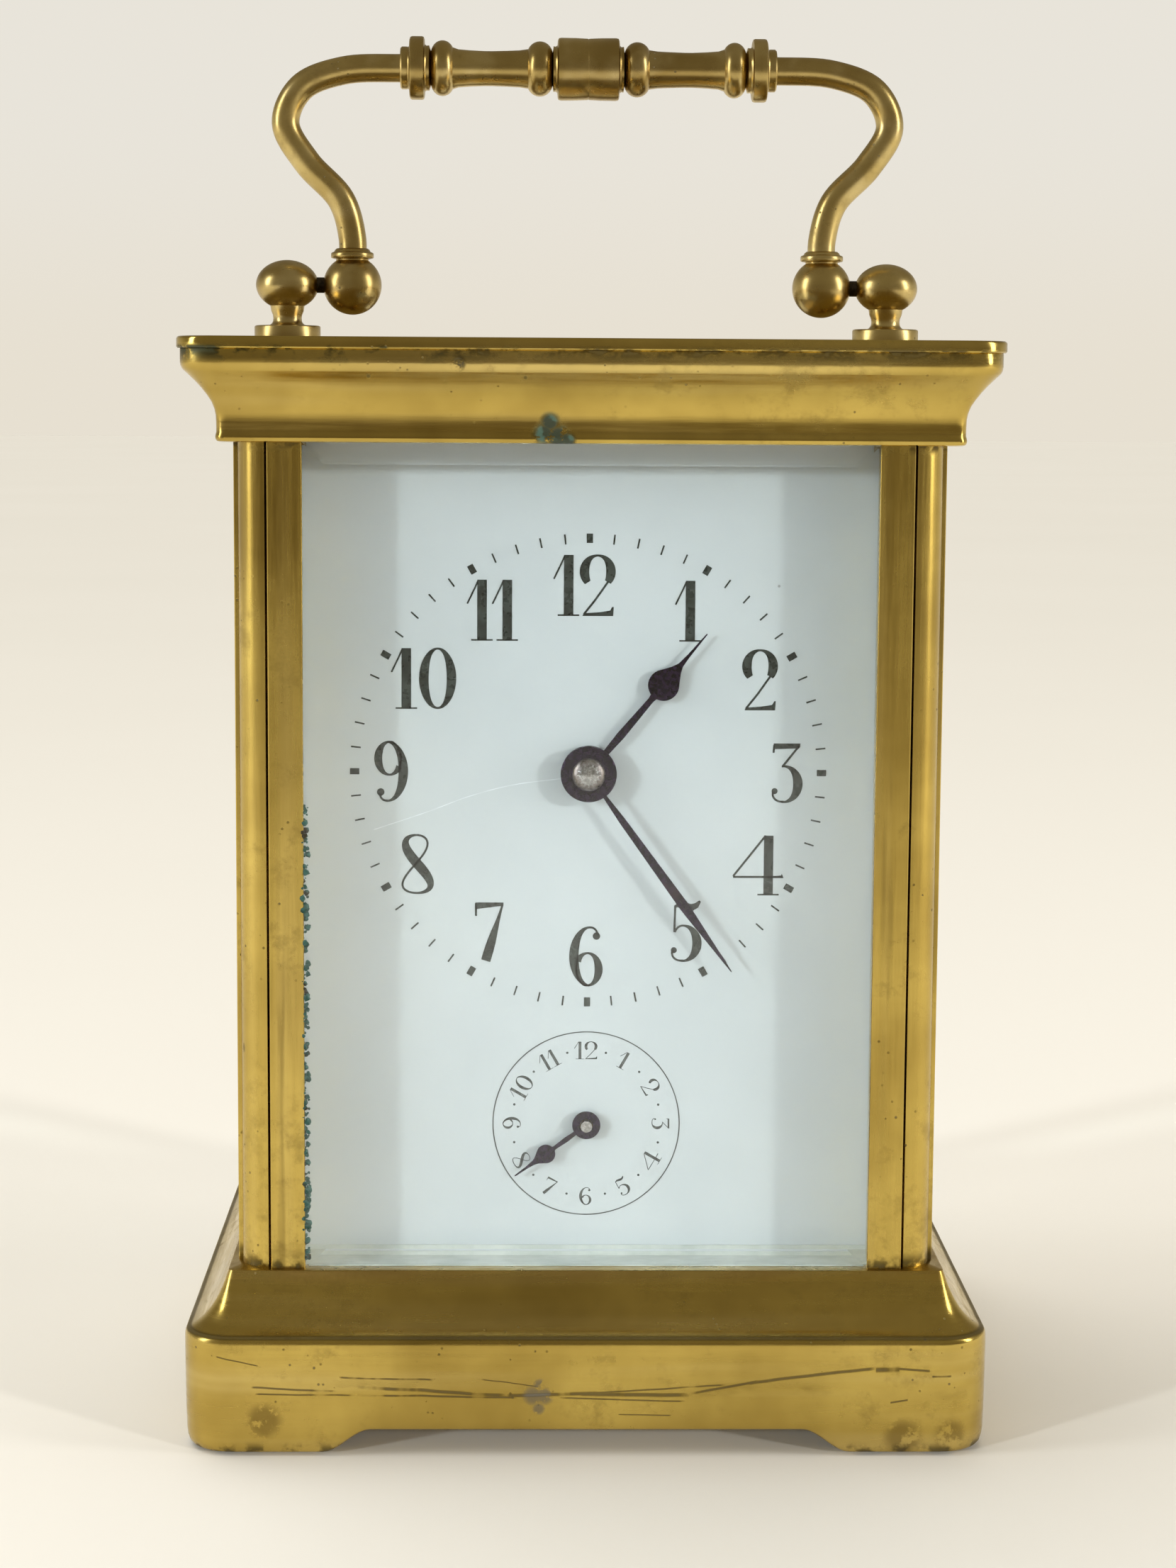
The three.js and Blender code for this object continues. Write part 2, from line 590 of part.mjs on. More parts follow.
const mainspring = () => placed(slab(coil(5, 13.2, 5, 0.6, 10), -10.6, 4.8), GREAT_WHEEL);

// A winding arbor: a core in the barrel, pivots in both plates, and a square for the key at the back.
function windingArbor(core, bearing, place, coreY0, coreY1) {
  const front = [[1.4, FRONT_INNER + 0.2], [bearing, coreY0]];
  const back = [[bearing, BACK_INNER - 0.2], [1.4, 17]];
  const turnedPart = turnedY(rod(PLATES.front + 0.2, ...front, [core, coreY1], ...back), 16);
  const square = block(-0.98, 0.98, 16.5, 24.5, -0.98, 0.98);
  return placed(join(turnedPart, square), place);
}

const barrelArbor = () => windingArbor(3.4, DRUM.arbor, GREAT_WHEEL, -10.9, 5.2);

const RATCHET = { teeth: 20, root: 4.3, tip: 5.1, y0: 14.3, y1: 15.4 };

function ratchetWheel() {
  const points = [];
  for (let tooth = 0; tooth < RATCHET.teeth; tooth++) {
    const angle = (TURN * tooth) / RATCHET.teeth;
    points.push([RATCHET.tip, angle], [RATCHET.root, angle + 0.04]);
  }
  const shape = polar(points);
  shape.holes.push(circle(0, 0, 1.6));
  return placed(slab(shape, RATCHET.y0, RATCHET.y1, 4), GREAT_WHEEL);
}

// The click stands above the ratchet; its nose ends just clear of the teeth.
const CLICK = { x: GREAT_WHEEL.x + 5.6, z: GREAT_WHEEL.z + 7 };

function click() {
  const shape = new THREE.Shape();
  shape.absarc(0, 0, 1.7, degrees(-60), degrees(200), false);
  shape.lineTo(-3.1, -2.4);
  shape.lineTo(-2.2, -3.2);
  shape.closePath();
  shape.holes.push(circle(0, 0, 0.7 + FIT));
  return placed(slab(shape, RATCHET.y0, RATCHET.y1), CLICK);
}

// The click's spring, bent from flat strip, with its screwed foot.
function clickSpring() {
  const shape = new THREE.Shape();
  shape.moveTo(2.2, 7);
  shape.lineTo(2.2, 4.5);
  shape.quadraticCurveTo(1.6, 2.6, -1.5, 2.4);
  shape.lineTo(-1.5, 2.1);
  shape.quadraticCurveTo(2, 2.2, 3, 4.5);
  shape.absarc(4, 7, 1.6, degrees(-100), degrees(150), false);
  return placed(slab(shape, PLATES.back, RATCHET.y1 - 0.3), CLICK);
}

// The centre wheel's arbor is a tube: the hand-setting arbor runs through it, held by friction.
const TUBE = { bore: 0.8 + FIT, bearing: 1.4 };

function centreWheel() {
  const tube = turnedY(rod(PLATES.front + 0.3, [TUBE.bearing, PLATES.back - 0.3]), 12);
  const collar = turnedY(rod(7.4, [2.6, 10.4]), 14);
  const wheel = crossed(CENTRE_WHEEL, 8.6, 9.8, 4, 3, 9.6, 1.3);
  const pinion = toothed(CENTRE_PINION, -13.6, -10.4);
  return placed(bored(join(tube, collar, wheel, pinion), TUBE.bore), CENTRE);
}

function thirdWheel() {
  const wheel = crossed(THIRD_WHEEL, -4, -3, 4, 2.2, 7.3, 1.1);
  const collar = turnedY(rod(-4.6, [1.5, -2.4]), 12);
  return placed(join(arbor(0.75), collar, wheel, toothed(THIRD_PINION, 7.8, 10.6)), THIRD_PINION);
}

// The contrate wheel turns the drive through a right angle: its teeth stand up from the rim, to the back.
const CROWN = { y0: -1.5, disc: 0.9, tips: 1.5, root: 0.7, inner: 8.3, outer: 9.5, slot: 0.6 };

function contrateWheel() {
  const { y0, disc, tips, root, inner, outer, slot } = CROWN;
  const ring = turnedY([[inner, y0], [outer, y0], [outer, tips], [inner, tips], [inner, y0]], 16);
  const pitch = (TURN * CONTRATE.radius) / CONTRATE.teeth;
  const half = (pitch * slot) / 2;
  const slots = Array.from({ length: CONTRATE.teeth / 2 }, (_, i) =>
    block(-outer - 1, outer + 1, root, tips + 1, -half, half).rotateY((TURN * i) / CONTRATE.teeth),
  );
  const crown = cut(ring, join(...slots));
  const web = new THREE.Shape().absarc(0, 0, inner + 0.3, 0, TURN, false);
  const wheel = slab(crossOut(web, 4, 2, inner - 0.6, 1), y0, y0 + disc, 4);
  const collar = turnedY(rod(y0 - 0.6, [1.4, y0 + disc + 0.6]), 12);
  const pinion = toothed(CONTRATE_PINION, -4.9, -2.2);
  return placed(join(arbor(0.7), crown, wheel, collar, pinion), CONTRATE);
}

// ---------------------------------------------------------------- platform escapement
// It lies on top of the plates. Its wheels turn about upright axes in one row, along X.
const PLATFORM = { z0: PLATES.z1, z1: PLATES.z1 + 1.5, halfX: 15 };
const ESCAPE = { x: CONTRATE.x, y: CROWN.tips + 1.12, leaves: 6, teeth: 15, root: 2.75, tip: 3.5, z0: 97.2 };
const LEVER = { x: ESCAPE.x - 4.9, z0: 97.1, thickness: 0.5 };
const BALANCE = { x: ESCAPE.x - 11.2, rim: 6.2, inner: 5.3, z0: 99.2, z1: 100.2, pinReach: 0.95 };
const onPlatform = (geometry, { x }) => placed(geometry, { x, y: ESCAPE.y });

// The plate, with the cock below it for the escape wheel's lower pivot, and the lever's two banking pins.
function platformPlate() {
  const { z0, z1, halfX } = PLATFORM;
  const middleY = (PLATES.front + PLATES.back) / 2;
  const halfY = (PLATES.back - PLATES.front) / 2;
  const plate = raise(planShape(halfX, halfY, 2, 3), z0, z1).translate(0, middleY, 0);
  const leg = block(ESCAPE.x - 1.6, ESCAPE.x + 1.6, 9.5, 11.2, 88.3, z0 + 0.5);
  const shelf = block(ESCAPE.x - 1.6, ESCAPE.x + 1.6, ESCAPE.y - 1.2, 11.2, 88.3, 89.4);
  const pins = [-1, 1].map((side) =>
    turnedZ(rod(z1 - 0.5, [0.22, 97.7]), 8).translate(BALANCE.x + 2.2, ESCAPE.y + side * 1.35, 0),
  );
  const well = (x, radius, from, to) => turnedZ(rod(from, [radius, to]), 14).translate(x, ESCAPE.y, 0);
  return cut(
    join(plate, leg, shelf, ...pins),
    well(ESCAPE.x, 1.5, z0 - 1, z1 + 1),
    well(ESCAPE.x, 0.3 + FIT, 88, 90),
    well(LEVER.x, 0.25 + FIT, z0 + 0.4, z1 + 1),
    well(BALANCE.x, 0.25 + FIT, z0 + 0.4, z1 + 1),
  );
}

function escapeWheel() {
  const { leaves, teeth, root, tip, z0 } = ESCAPE;
  const points = [];
  for (let tooth = 0; tooth < teeth; tooth++) {
    const angle = (TURN * tooth) / teeth;
    points.push([root, angle], [tip, angle + 0.13], [tip, angle + 0.2], [root, angle + 0.13]);
  }
  const shape = polar(points);
  const wheel = raise(crossOut(shape, 4, 0.9, 2.3, 0.5), z0, z0 + 0.5, 1);
  const leaf = { teeth: leaves, module: (2 * CONTRATE.radius) / CONTRATE.teeth, phase: -Math.PI / 2 };
  const pinion = raise(toothedOutline(leaf), 90.2, 92.8);
  const staff = turnedZ(rod(88.6, [0.3, 89.6], [0.45, z0 + 0.9], [0.2, z0 + 1.6]), 10);
  return onPlatform(join(wheel, pinion, staff), ESCAPE);
}

// The lever: two pallet arms that reach round the escape wheel, and a fork towards the balance.
function palletLever() {
  const { z0, thickness } = LEVER;
  const clear = ESCAPE.tip + 0.2;
  const distance = ESCAPE.x - LEVER.x;
  const fork = LEVER.x - BALANCE.x - BALANCE.pinReach - 0.3;
  const arm = (side) => [
    [0.9, side * 0.9],
    [1.7, side * 2.6],
    [distance - clear * Math.cos(degrees(52)), side * clear * Math.sin(degrees(52))],
    [distance - clear * Math.cos(degrees(62)), side * clear * Math.sin(degrees(62))],
    [1.5, side * 3.5],
    [0.2, side * 1.1],
  ];
  const outline = [
    ...arm(-1).reverse(),
    ...arm(1),
    [-0.6, 0.35],
    [-fork + 1, 0.3],
    [-fork, 0.75],
    [-fork, 0.25],
    [-fork + 0.6, 0],
    [-fork, -0.25],
    [-fork, -0.75],
    [-fork + 1, -0.3],
    [-0.6, -0.35],
  ];
  const shape = outlined(outline);
  const staff = turnedZ(rod(PLATFORM.z0 + 0.6, [0.25, z0 - 0.3], [0.4, z0 + 1], [0.2, z0 + 1.5]), 10);
  return onPlatform(join(raise(shape, z0, z0 + thickness), staff), LEVER);
}

// The balance: a rim with timing screws on two arms, its staff, and the roller with its impulse pin.
function balanceWheel() {
  const { rim, inner, z0, z1, pinReach } = BALANCE;
  const wheel = new THREE.Shape().absarc(0, 0, rim, 0, TURN, false);
  const screw = turnedX(rod(rim - 0.2, [0.35, rim + 0.6]), 6).translate(0, 0, (z0 + z1) / 2);
  const screws = Array.from({ length: 8 }, (_, i) => screw.clone().rotateZ((TURN * (i + 0.5)) / 8));
  const roller = [1.15, 98.4];
  const lower = [[0.25, 96.6], [0.5, 98]];
  const upper = [[0.5, 100.7], [0.3, 101.7], [0.2, 102.9]];
  const staff = rod(PLATFORM.z0 + 0.6, ...lower, roller, ...upper);
  const pin = turnedZ(rod(97.1, [0.15, 98.1]), 8).translate(pinReach, 0, 0);
  return onPlatform(
    join(raise(crossOut(wheel, 2, 0.9, inner, 1), z0, z1, 8), turnedZ(staff, 8), pin, ...screws),
    BALANCE,
  );
}

const balanceSpring = () => {
  const spiral = raise(coil(0.7, 3, 5, 0.14, 8), 100.9, 101.2);
  const collet = raise(new THREE.Shape().absarc(0, 0, 0.75, 0, TURN, false), 100.9, 101.2, 6);
  const bore = turnedZ(rod(100, [0.36, 102]), 12);
  return onPlatform(cut(join(spiral, collet), bore), BALANCE);
};

// The cock bridges the balance from a foot beside it, and holds the staff's upper pivot.
const COCK = { z0: 101.9, z1: 103.1, disc: 2.6 };

function balanceCock() {
  const { z0, z1, disc } = COCK;
  const footY = 9.7 - ESCAPE.y;
  const shape = new THREE.Shape();
  shape.absarc(0, 0, disc, degrees(125), degrees(55), false);
  shape.quadraticCurveTo(1.6, 4.6, 3, footY);
  shape.lineTo(3, footY + 3.8);
  shape.lineTo(-3, footY + 3.8);
  shape.lineTo(-3, footY);
  shape.quadraticCurveTo(-1.6, 4.6, disc * Math.cos(degrees(125)), disc * Math.sin(degrees(125)));
  const foot = block(-3, 3, footY, footY + 3.8, PLATFORM.z1, z0 + 0.4);
  const bore = turnedZ(rod(z0 - 1, [0.2 + FIT, z1 + 1]), 12);
  return onPlatform(cut(join(raise(shape, z0, z1, 8), foot), bore), BALANCE);
}

// The regulator's index turns round the cock's middle; its tail carries the curb pin down to the spring.
function regulatorIndex() {
  const z0 = COCK.z1 + 0.05;
  const z1 = z0 + 0.5;
  const shape = new THREE.Shape();
  shape.absarc(0, 0, 1.6, degrees(200), degrees(160), false);
  shape.lineTo(-6.4, 0.16);
  shape.lineTo(-6.4, -0.16);
  shape.closePath();
  const tail = block(-0.3, 0.3, -3.4, -1.3, z0, z1);
  const pin = turnedZ(rod(101.3, [0.14, z1]), 8).translate(0, -3.2, 0);
  const bore = turnedZ(rod(z0 - 1, [0.5, z1 + 1]), 12);
  return onPlatform(cut(join(raise(shape, z0, z1, 8), tail, pin), bore), BALANCE);
}

// ---------------------------------------------------------------- dial and hands
const HAND = { hourY: -24.1, minuteY: -25.2, thickness: 0.4, dome: 1.75 };

// The enamel dial fills the case's front, and stands off the front plate on four feet.
function dial() {
  const { face, halfX, z0, z1 } = DIAL;
  const middle = (z0 + z1) / 2;
  const shape = planShape(halfX, (z1 - z0) / 2, 0.6, 2);
  shape.holes.push(circle(0, CENTRE.z - middle, 2.4), circle(0, ALARM.z - middle, 1.3));
  const plate = slab(shape, face, DIAL_BACK).translate(0, 0, middle);
  const foot = turnedY(rod(DIAL_BACK - 0.5, [1, PLATES.front]), 10);
  return join(plate, ...STUDS.map(([x, z]) => foot.clone().translate(x, 0, z)));
}

// A pear hand drawn pointing up: a stem that swells, a pear-shaped bulb, and a fine tip.
function pearOutline({ hub, stem, bulbAt, bulb, neck, tip }) {
  const shape = new THREE.Shape();
  shape.absarc(0, 0, hub, degrees(75), degrees(105), true);
  shape.lineTo(-stem, (hub + bulbAt) / 2.4);
  shape.lineTo(-stem * 0.55, bulbAt - bulb);
  shape.absarc(0, bulbAt, bulb, degrees(250), degrees(150), true);
  shape.quadraticCurveTo(-bulb * 0.35, bulbAt + bulb * 1.1, -neck, bulbAt + bulb * 2);
  shape.lineTo(-0.06, tip);
  shape.lineTo(0.06, tip);
  shape.lineTo(neck, bulbAt + bulb * 2);
  const shoulder = bulb * Math.cos(degrees(30));
  shape.quadraticCurveTo(bulb * 0.35, bulbAt + bulb * 1.1, shoulder, bulbAt + bulb * 0.5);
  shape.absarc(0, bulbAt, bulb, degrees(30), degrees(-70), true);
  shape.lineTo(stem * 0.55, bulbAt - bulb);
  shape.lineTo(stem, (hub + bulbAt) / 2.4);
  return shape;
}

// A hand's angle is measured clockwise from twelve, as it is read.
function hand(shape, y0, bore, clockwise) {
  return bored(slab(shape, y0, y0 + HAND.thickness, 5), bore).rotateY(degrees(clockwise));
}

const HOUR_ANGLE = 40;
const MINUTE_ANGLE = 144;
const ALARM_ANGLE = 234;

const hourHand = () =>
  placed(
    hand(pearOutline({ hub: 2.9, stem: 0.43, bulbAt: 12.15, bulb: 1.64, neck: 0.2, tip: 19.2 }),
      HAND.hourY, 2.03, HOUR_ANGLE),
    CENTRE,
  );

function minuteHand() {
  const shape = new THREE.Shape();
  shape.absarc(0, 0, 2.95, degrees(84), degrees(96), true);
  shape.lineTo(-0.48, 17.7);
  shape.lineTo(-0.06, 25.9);
  shape.lineTo(0.06, 25.9);
  shape.lineTo(0.48, 17.7);
  return placed(hand(shape, HAND.minuteY, 1.38, MINUTE_ANGLE), CENTRE);
}

const alarmHand = () =>
  placed(
    hand(pearOutline({ hub: 1.5, stem: 0.27, bulbAt: 5.3, bulb: 1, neck: 0.16, tip: 9.4 }),
      HAND.hourY, 0.7, ALARM_ANGLE),
    ALARM,
  );

// The arbor that sets the hands: a domed head before the minute hand, a square for the key at the back.
function handSettingArbor() {
  const head = HAND.minuteY - 0.05;
  const dome = arc(0, head, HAND.dome, 1.1, -90, 0, 6);
  const shaft = turnedY([...dome, [0.8, head], [0.8, 17], [0, 17]], 16);
  return placed(join(shaft, block(-0.56, 0.56, 16.5, 22, -0.56, 0.56)), CENTRE);
}

// ---------------------------------------------------------------- motion work, behind the dial
const MOTION = { low: PLATES.front - 1.6, high: PLATES.front - 3.4, thickness: 1 };

function cannonPinion() {
  const pipe = turnedY(rod(HAND.minuteY, [1.33, PLATES.front - 0.4]), 14);
  const pinion = toothed(CANNON, MOTION.low - 0.1, PLATES.front - 0.4);
  return placed(bored(join(pipe, pinion), 0.8 + FIT), CENTRE);
}

function minuteWheel() {
  const { low, high, thickness } = MOTION;
  const pinion = toothed(MINUTE_PINION, high - 0.2, low + 0.2);
  const hubbed = join(toothed(MINUTE_WHEEL, low, low + thickness), pinion);
  return placed(bored(hubbed, 0.9 + FIT), MINUTE_WHEEL);
}

function hourWheel() {
  const { high, thickness } = MOTION;
  const pipe = turnedY(rod(HAND.hourY, [1.93, high + thickness + 0.3]), 12);
  return placed(bored(join(toothed(HOUR_WHEEL, high, high + thickness), pipe), 1.33 + FIT), CENTRE);
}

function alarmIdlerWheel() {
  const { high, thickness } = MOTION;
  const hub = turnedY(rod(high - 0.2, [2.2, PLATES.front - 0.4]), 10);
  return placed(bored(join(toothed(IDLER, high, high + thickness), hub), 0.9 + FIT), IDLER);
}

function alarmWheel() {
  const { high, thickness } = MOTION;
  const hub = turnedY(rod(high, [2.2, high + 1.6]), 10);
  return placed(bored(join(toothed(ALARM_WHEEL, high, high + thickness), hub), 0.7 + FIT), ALARM);
}

// ---------------------------------------------------------------- alarm
// The setting arbor carries the alarm hand, a notched cam behind the alarm wheel, and a square at the back.
function alarmSetArbor() {
  const steps = [[0.62, MOTION.high - 1], [0.7, PLATES.front - 0.5], [0.8, 17]];
  const shaft = turnedY(rod(HAND.hourY - 0.6, ...steps), 12);
  const cam = new THREE.Shape().absarc(0, 0, 4.2, degrees(20), degrees(340), false);
  cam.lineTo(3, -0.6);
  cam.lineTo(3, 0.6);
  const square = block(-0.56, 0.56, 16.5, 22, -0.56, 0.56);
  return placed(join(shaft, slab(cam, PLATES.front - 1.6, PLATES.front - 0.9, 10), square), ALARM);
}

function alarmBarrel() {
  const bore = 1.6 + FIT;
  const [y0, wheelY, y1] = [-12.7, -11.6, 1];
  const drum = turnedY([
    [bore, y0],
    [6.8, y0],
    [6.8, y1],
    [bore, y1],
    [bore, y1 - 0.8],
    [6, y1 - 0.8],
    [6, wheelY],
    [bore, wheelY],
    [bore, y0],
  ], 16);
  const rim = cut(toothed(ALARM_BARREL, y0, wheelY), turnedY(rod(y0 - 1, [6.3, y1]), 16));
  return placed(join(drum, rim), ALARM_BARREL);
}

const alarmBarrelArbor = () => windingArbor(2.6, 1.6, ALARM_BARREL, -11.2, -0.1);

// The last wheel of the alarm: a star whose points kick the hammer to and fro.
const STAR = { points: 9, root: 3, tip: 4.5, y0: 3, y1: 4 };

function alarmScapeWheel() {
  const points = [];
  for (let i = 0; i < STAR.points; i++) {
    const angle = (TURN * i) / STAR.points;
    points.push([STAR.tip, angle], [STAR.root, angle + 0.12]);
  }
  const star = slab(polar(points), STAR.y0, STAR.y1);
  return placed(join(arbor(0.7), star, toothed(ALARM_SCAPE, -13.2, -11)), ALARM_SCAPE);
}

const BELL = { radius: 19.6, mouth: 5, crown: 13.6, wall: 0.9, stud: 1 };

// The hammer: an arbor with a pallet by the star, and an arm down through the deck to the bell's rim.
function alarmHammer() {
  const head = { x: BELL.radius + 2.3 - HAMMER.x, z: 9 - HAMMER.z };
  const length = Math.hypot(head.x, head.z);
  const lean = Math.atan2(head.x, -head.z);
  const arm = block(-0.6, 0.6, -0.5, 0.5, -length, 0).rotateY(-lean);
  const knob = turnedX(rod(-1.7, [1.4, -1.2], [1.9, 1.2], [1.4, 1.7]), 14).translate(head.x, 0, head.z);
  const toStar = { x: ALARM_SCAPE.x - HAMMER.x, z: ALARM_SCAPE.z - HAMMER.z };
  const gap = Math.hypot(toStar.x, toStar.z) - STAR.tip - 0.3;
  const pallet = block(-1.6, 1.6, STAR.y0, STAR.y1, 0, gap).rotateY(Math.atan2(toStar.x, toStar.z));
  return placed(join(arbor(0.9), arm, knob, pallet), HAMMER);
}

// The bell stands mouth down on a stud in the base.
function bell() {
  const { radius, mouth, crown, wall, stud } = BELL;
  const outer = arc(radius * 0.55, mouth, radius * 0.45, crown - mouth, 0, 90, 4);
  const inner = arc(radius * 0.55, mouth, radius * 0.45 - wall, crown - mouth - wall, 90, 0, 4);
  const bore = stud + 0.05;
  return turnedZ([...outer, [bore, crown], [bore, crown - wall], ...inner, [radius, mouth]], 18);
}

const bellStud = () =>
  turnedZ(rod(3.8, [2.2, BELL.crown - BELL.wall], [BELL.stud, BELL.crown], [1.9, BELL.crown + 1.3]), 14);

// ---------------------------------------------------------------- assembly
const clock = new THREE.Group();
clock.name = "carriage_clock";

function assembly(name) {
  const group = new THREE.Group();
  group.name = name;
  clock.add(group);
  return (pieceName, made, material) => {
    const { geometry, position } = made.isBufferGeometry ? { geometry: made, position: [0, 0, 0] } : made;
    const mesh = new THREE.Mesh(geometry, material);
    mesh.name = pieceName;
    mesh.position.set(...position);
    group.add(mesh);
  };
}

const SIDES = [
  ["left", -1],
  ["right", 1],
];

const inCase = assembly("case");
inCase("base", base(), CASE_BRASS);
inCase("base_bottom_plate", baseBottomPlate(), CASE_BRASS);
inCase("cornice", cornice(), CASE_BRASS);
inCase("top_plate", topPlate(), CASE_BRASS);
inCase("front_glass", frontGlass(), CRYSTAL);
inCase("top_glass", topGlass(), CRYSTAL);
for (const [side, sx] of SIDES) {
  inCase(`front_${side}_pillar`, pillar(sx, -1), CASE_BRASS);
  inCase(`rear_${side}_pillar`, pillar(sx, 1), CASE_BRASS);
  inCase(`${side}_glass`, sideGlass(sx), CRYSTAL);
  inCase(`handle_post_${side}`, handlePost(sx), HANDLE_BRASS);
}

const onHandle = assembly("handle");
for (const [side, sx] of SIDES) onHandle(`handle_arm_${side}`, handleArm(sx), HANDLE_BRASS);
onHandle("handle_grip", handleGrip(), HANDLE_BRASS);

const onDoor = assembly("rear_door");
onDoor("rear_door_frame", rearDoorFrame(), CASE_BRASS);
onDoor("rear_door_glass", rearDoorGlass(), CRYSTAL);
onDoor("rear_door_knob", rearDoorKnob(), CASE_BRASS);

const inFrame = assembly("movement_frame");
inFrame("movement_front_plate", frontPlate(), GILT);
inFrame("movement_back_plate", backPlate(), GILT);
const CORNERS = ["lower_left", "lower_right", "upper_left", "upper_right"];
STUDS.forEach((stud, i) => inFrame(`movement_pillar_${CORNERS[i]}`, movementPillar(stud), GILT));

const inTrain = assembly("going_train");
inTrain("going_barrel", goingBarrel(), GILT);
inTrain("mainspring", mainspring(), BLUED_STEEL);
inTrain("barrel_arbor", barrelArbor(), STEEL);
inTrain("ratchet_wheel", ratchetWheel(), STEEL);
inTrain("click", click(), STEEL);
inTrain("click_spring", clickSpring(), STEEL);
inTrain("centre_wheel", centreWheel(), GILT);
inTrain("third_wheel", thirdWheel(), GILT);
inTrain("contrate_wheel", contrateWheel(), GILT);

const onTop = assembly("platform_escapement");
onTop("platform_plate", platformPlate(), GILT);
onTop("escape_wheel", escapeWheel(), GILT);
onTop("pallet_lever", palletLever(), STEEL);
onTop("balance_wheel", balanceWheel(), GILT);
onTop("balance_spring", balanceSpring(), BLUED_STEEL);
onTop("balance_cock", balanceCock(), GILT);
onTop("regulator_index", regulatorIndex(), STEEL);

const atFront = assembly("dial_and_motion_work");
atFront("dial", dial(), ENAMEL);
atFront("hand_setting_arbor", handSettingArbor(), STEEL);
atFront("cannon_pinion", cannonPinion(), STEEL);
atFront("minute_wheel", minuteWheel(), GILT);
atFront("hour_wheel", hourWheel(), GILT);
atFront("hour_hand", hourHand(), BLUED_STEEL);
atFront("minute_hand", minuteHand(), BLUED_STEEL);

const inAlarm = assembly("alarm");
inAlarm("alarm_idler_wheel", alarmIdlerWheel(), GILT);
inAlarm("alarm_wheel", alarmWheel(), GILT);
inAlarm("alarm_set_arbor", alarmSetArbor(), STEEL);
inAlarm("alarm_hand", alarmHand(), BLUED_STEEL);
inAlarm("alarm_barrel", alarmBarrel(), GILT);
inAlarm("alarm_barrel_arbor", alarmBarrelArbor(), STEEL);
inAlarm("alarm_scape_wheel", alarmScapeWheel(), GILT);
inAlarm("alarm_hammer", alarmHammer(), STEEL);
inAlarm("bell", bell(), BELL_METAL);
inAlarm("bell_stud", bellStud(), STEEL);

export default clock;
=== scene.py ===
import json
import math
import random

import bmesh
import bpy
from mathutils import Matrix, Vector


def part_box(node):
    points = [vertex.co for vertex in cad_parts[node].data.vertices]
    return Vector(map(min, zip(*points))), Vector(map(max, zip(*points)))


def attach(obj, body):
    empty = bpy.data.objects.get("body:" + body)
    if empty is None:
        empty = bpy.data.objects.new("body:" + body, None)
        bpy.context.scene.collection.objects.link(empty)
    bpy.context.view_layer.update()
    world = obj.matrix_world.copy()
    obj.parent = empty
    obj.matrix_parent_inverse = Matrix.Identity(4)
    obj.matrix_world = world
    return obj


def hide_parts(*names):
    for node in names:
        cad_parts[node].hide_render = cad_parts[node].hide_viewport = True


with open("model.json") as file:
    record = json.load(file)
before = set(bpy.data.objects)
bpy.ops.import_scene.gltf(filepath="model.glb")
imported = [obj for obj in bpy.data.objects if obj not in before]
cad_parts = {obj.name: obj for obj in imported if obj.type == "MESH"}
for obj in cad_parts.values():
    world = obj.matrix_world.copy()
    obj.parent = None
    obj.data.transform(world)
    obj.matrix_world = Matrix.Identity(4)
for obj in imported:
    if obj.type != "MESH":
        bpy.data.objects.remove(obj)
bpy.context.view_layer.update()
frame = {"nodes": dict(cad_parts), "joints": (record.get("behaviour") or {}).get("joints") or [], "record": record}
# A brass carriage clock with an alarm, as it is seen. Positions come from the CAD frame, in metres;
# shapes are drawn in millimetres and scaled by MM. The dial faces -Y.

MM = 0.001
SCENE = bpy.context.scene


def box_mm(node):
    """The lowest and highest corner of a CAD node, in millimetres."""
    low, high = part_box(node)
    return [c / MM for c in low], [c / MM for c in high]


def middle_mm(node):
    """The middle of a CAD node, in millimetres."""
    return [(low + high) / 2 for low, high in zip(*box_mm(node))]


def joint_mm(name):
    """A place on a joint's axis, in millimetres."""
    return next([c / MM for c in joint["pos_m"]] for joint in frame["joints"] if joint["name"] == name)


# ---------------------------------------------------------------- places, all from the frame
BASE_X, _, BASE_TOP = box_mm("base")[1]
PILLAR_LOW, PILLAR_HIGH = box_mm("front_right_pillar")
PILLAR_X, PILLAR_Y = PILLAR_HIGH[0], -PILLAR_LOW[1]
PILLAR_SIZE = PILLAR_HIGH[0] - PILLAR_LOW[0]
LID_LOW, LID_HIGH = box_mm("top_plate")
LID_TOP = LID_HIGH[2]
DIAL_FACE = box_mm("dial")[0][1]
DIAL_CENTRE = (0.0, middle_mm("hour_wheel")[2])
ALARM_CENTRE = (0.0, middle_mm("alarm_wheel")[2])
PIVOT_Z = joint_mm("handle_swing")[2]
GRIP_Z = middle_mm("handle_grip")[2]
GRIP_END = box_mm("handle_grip")[1][0]


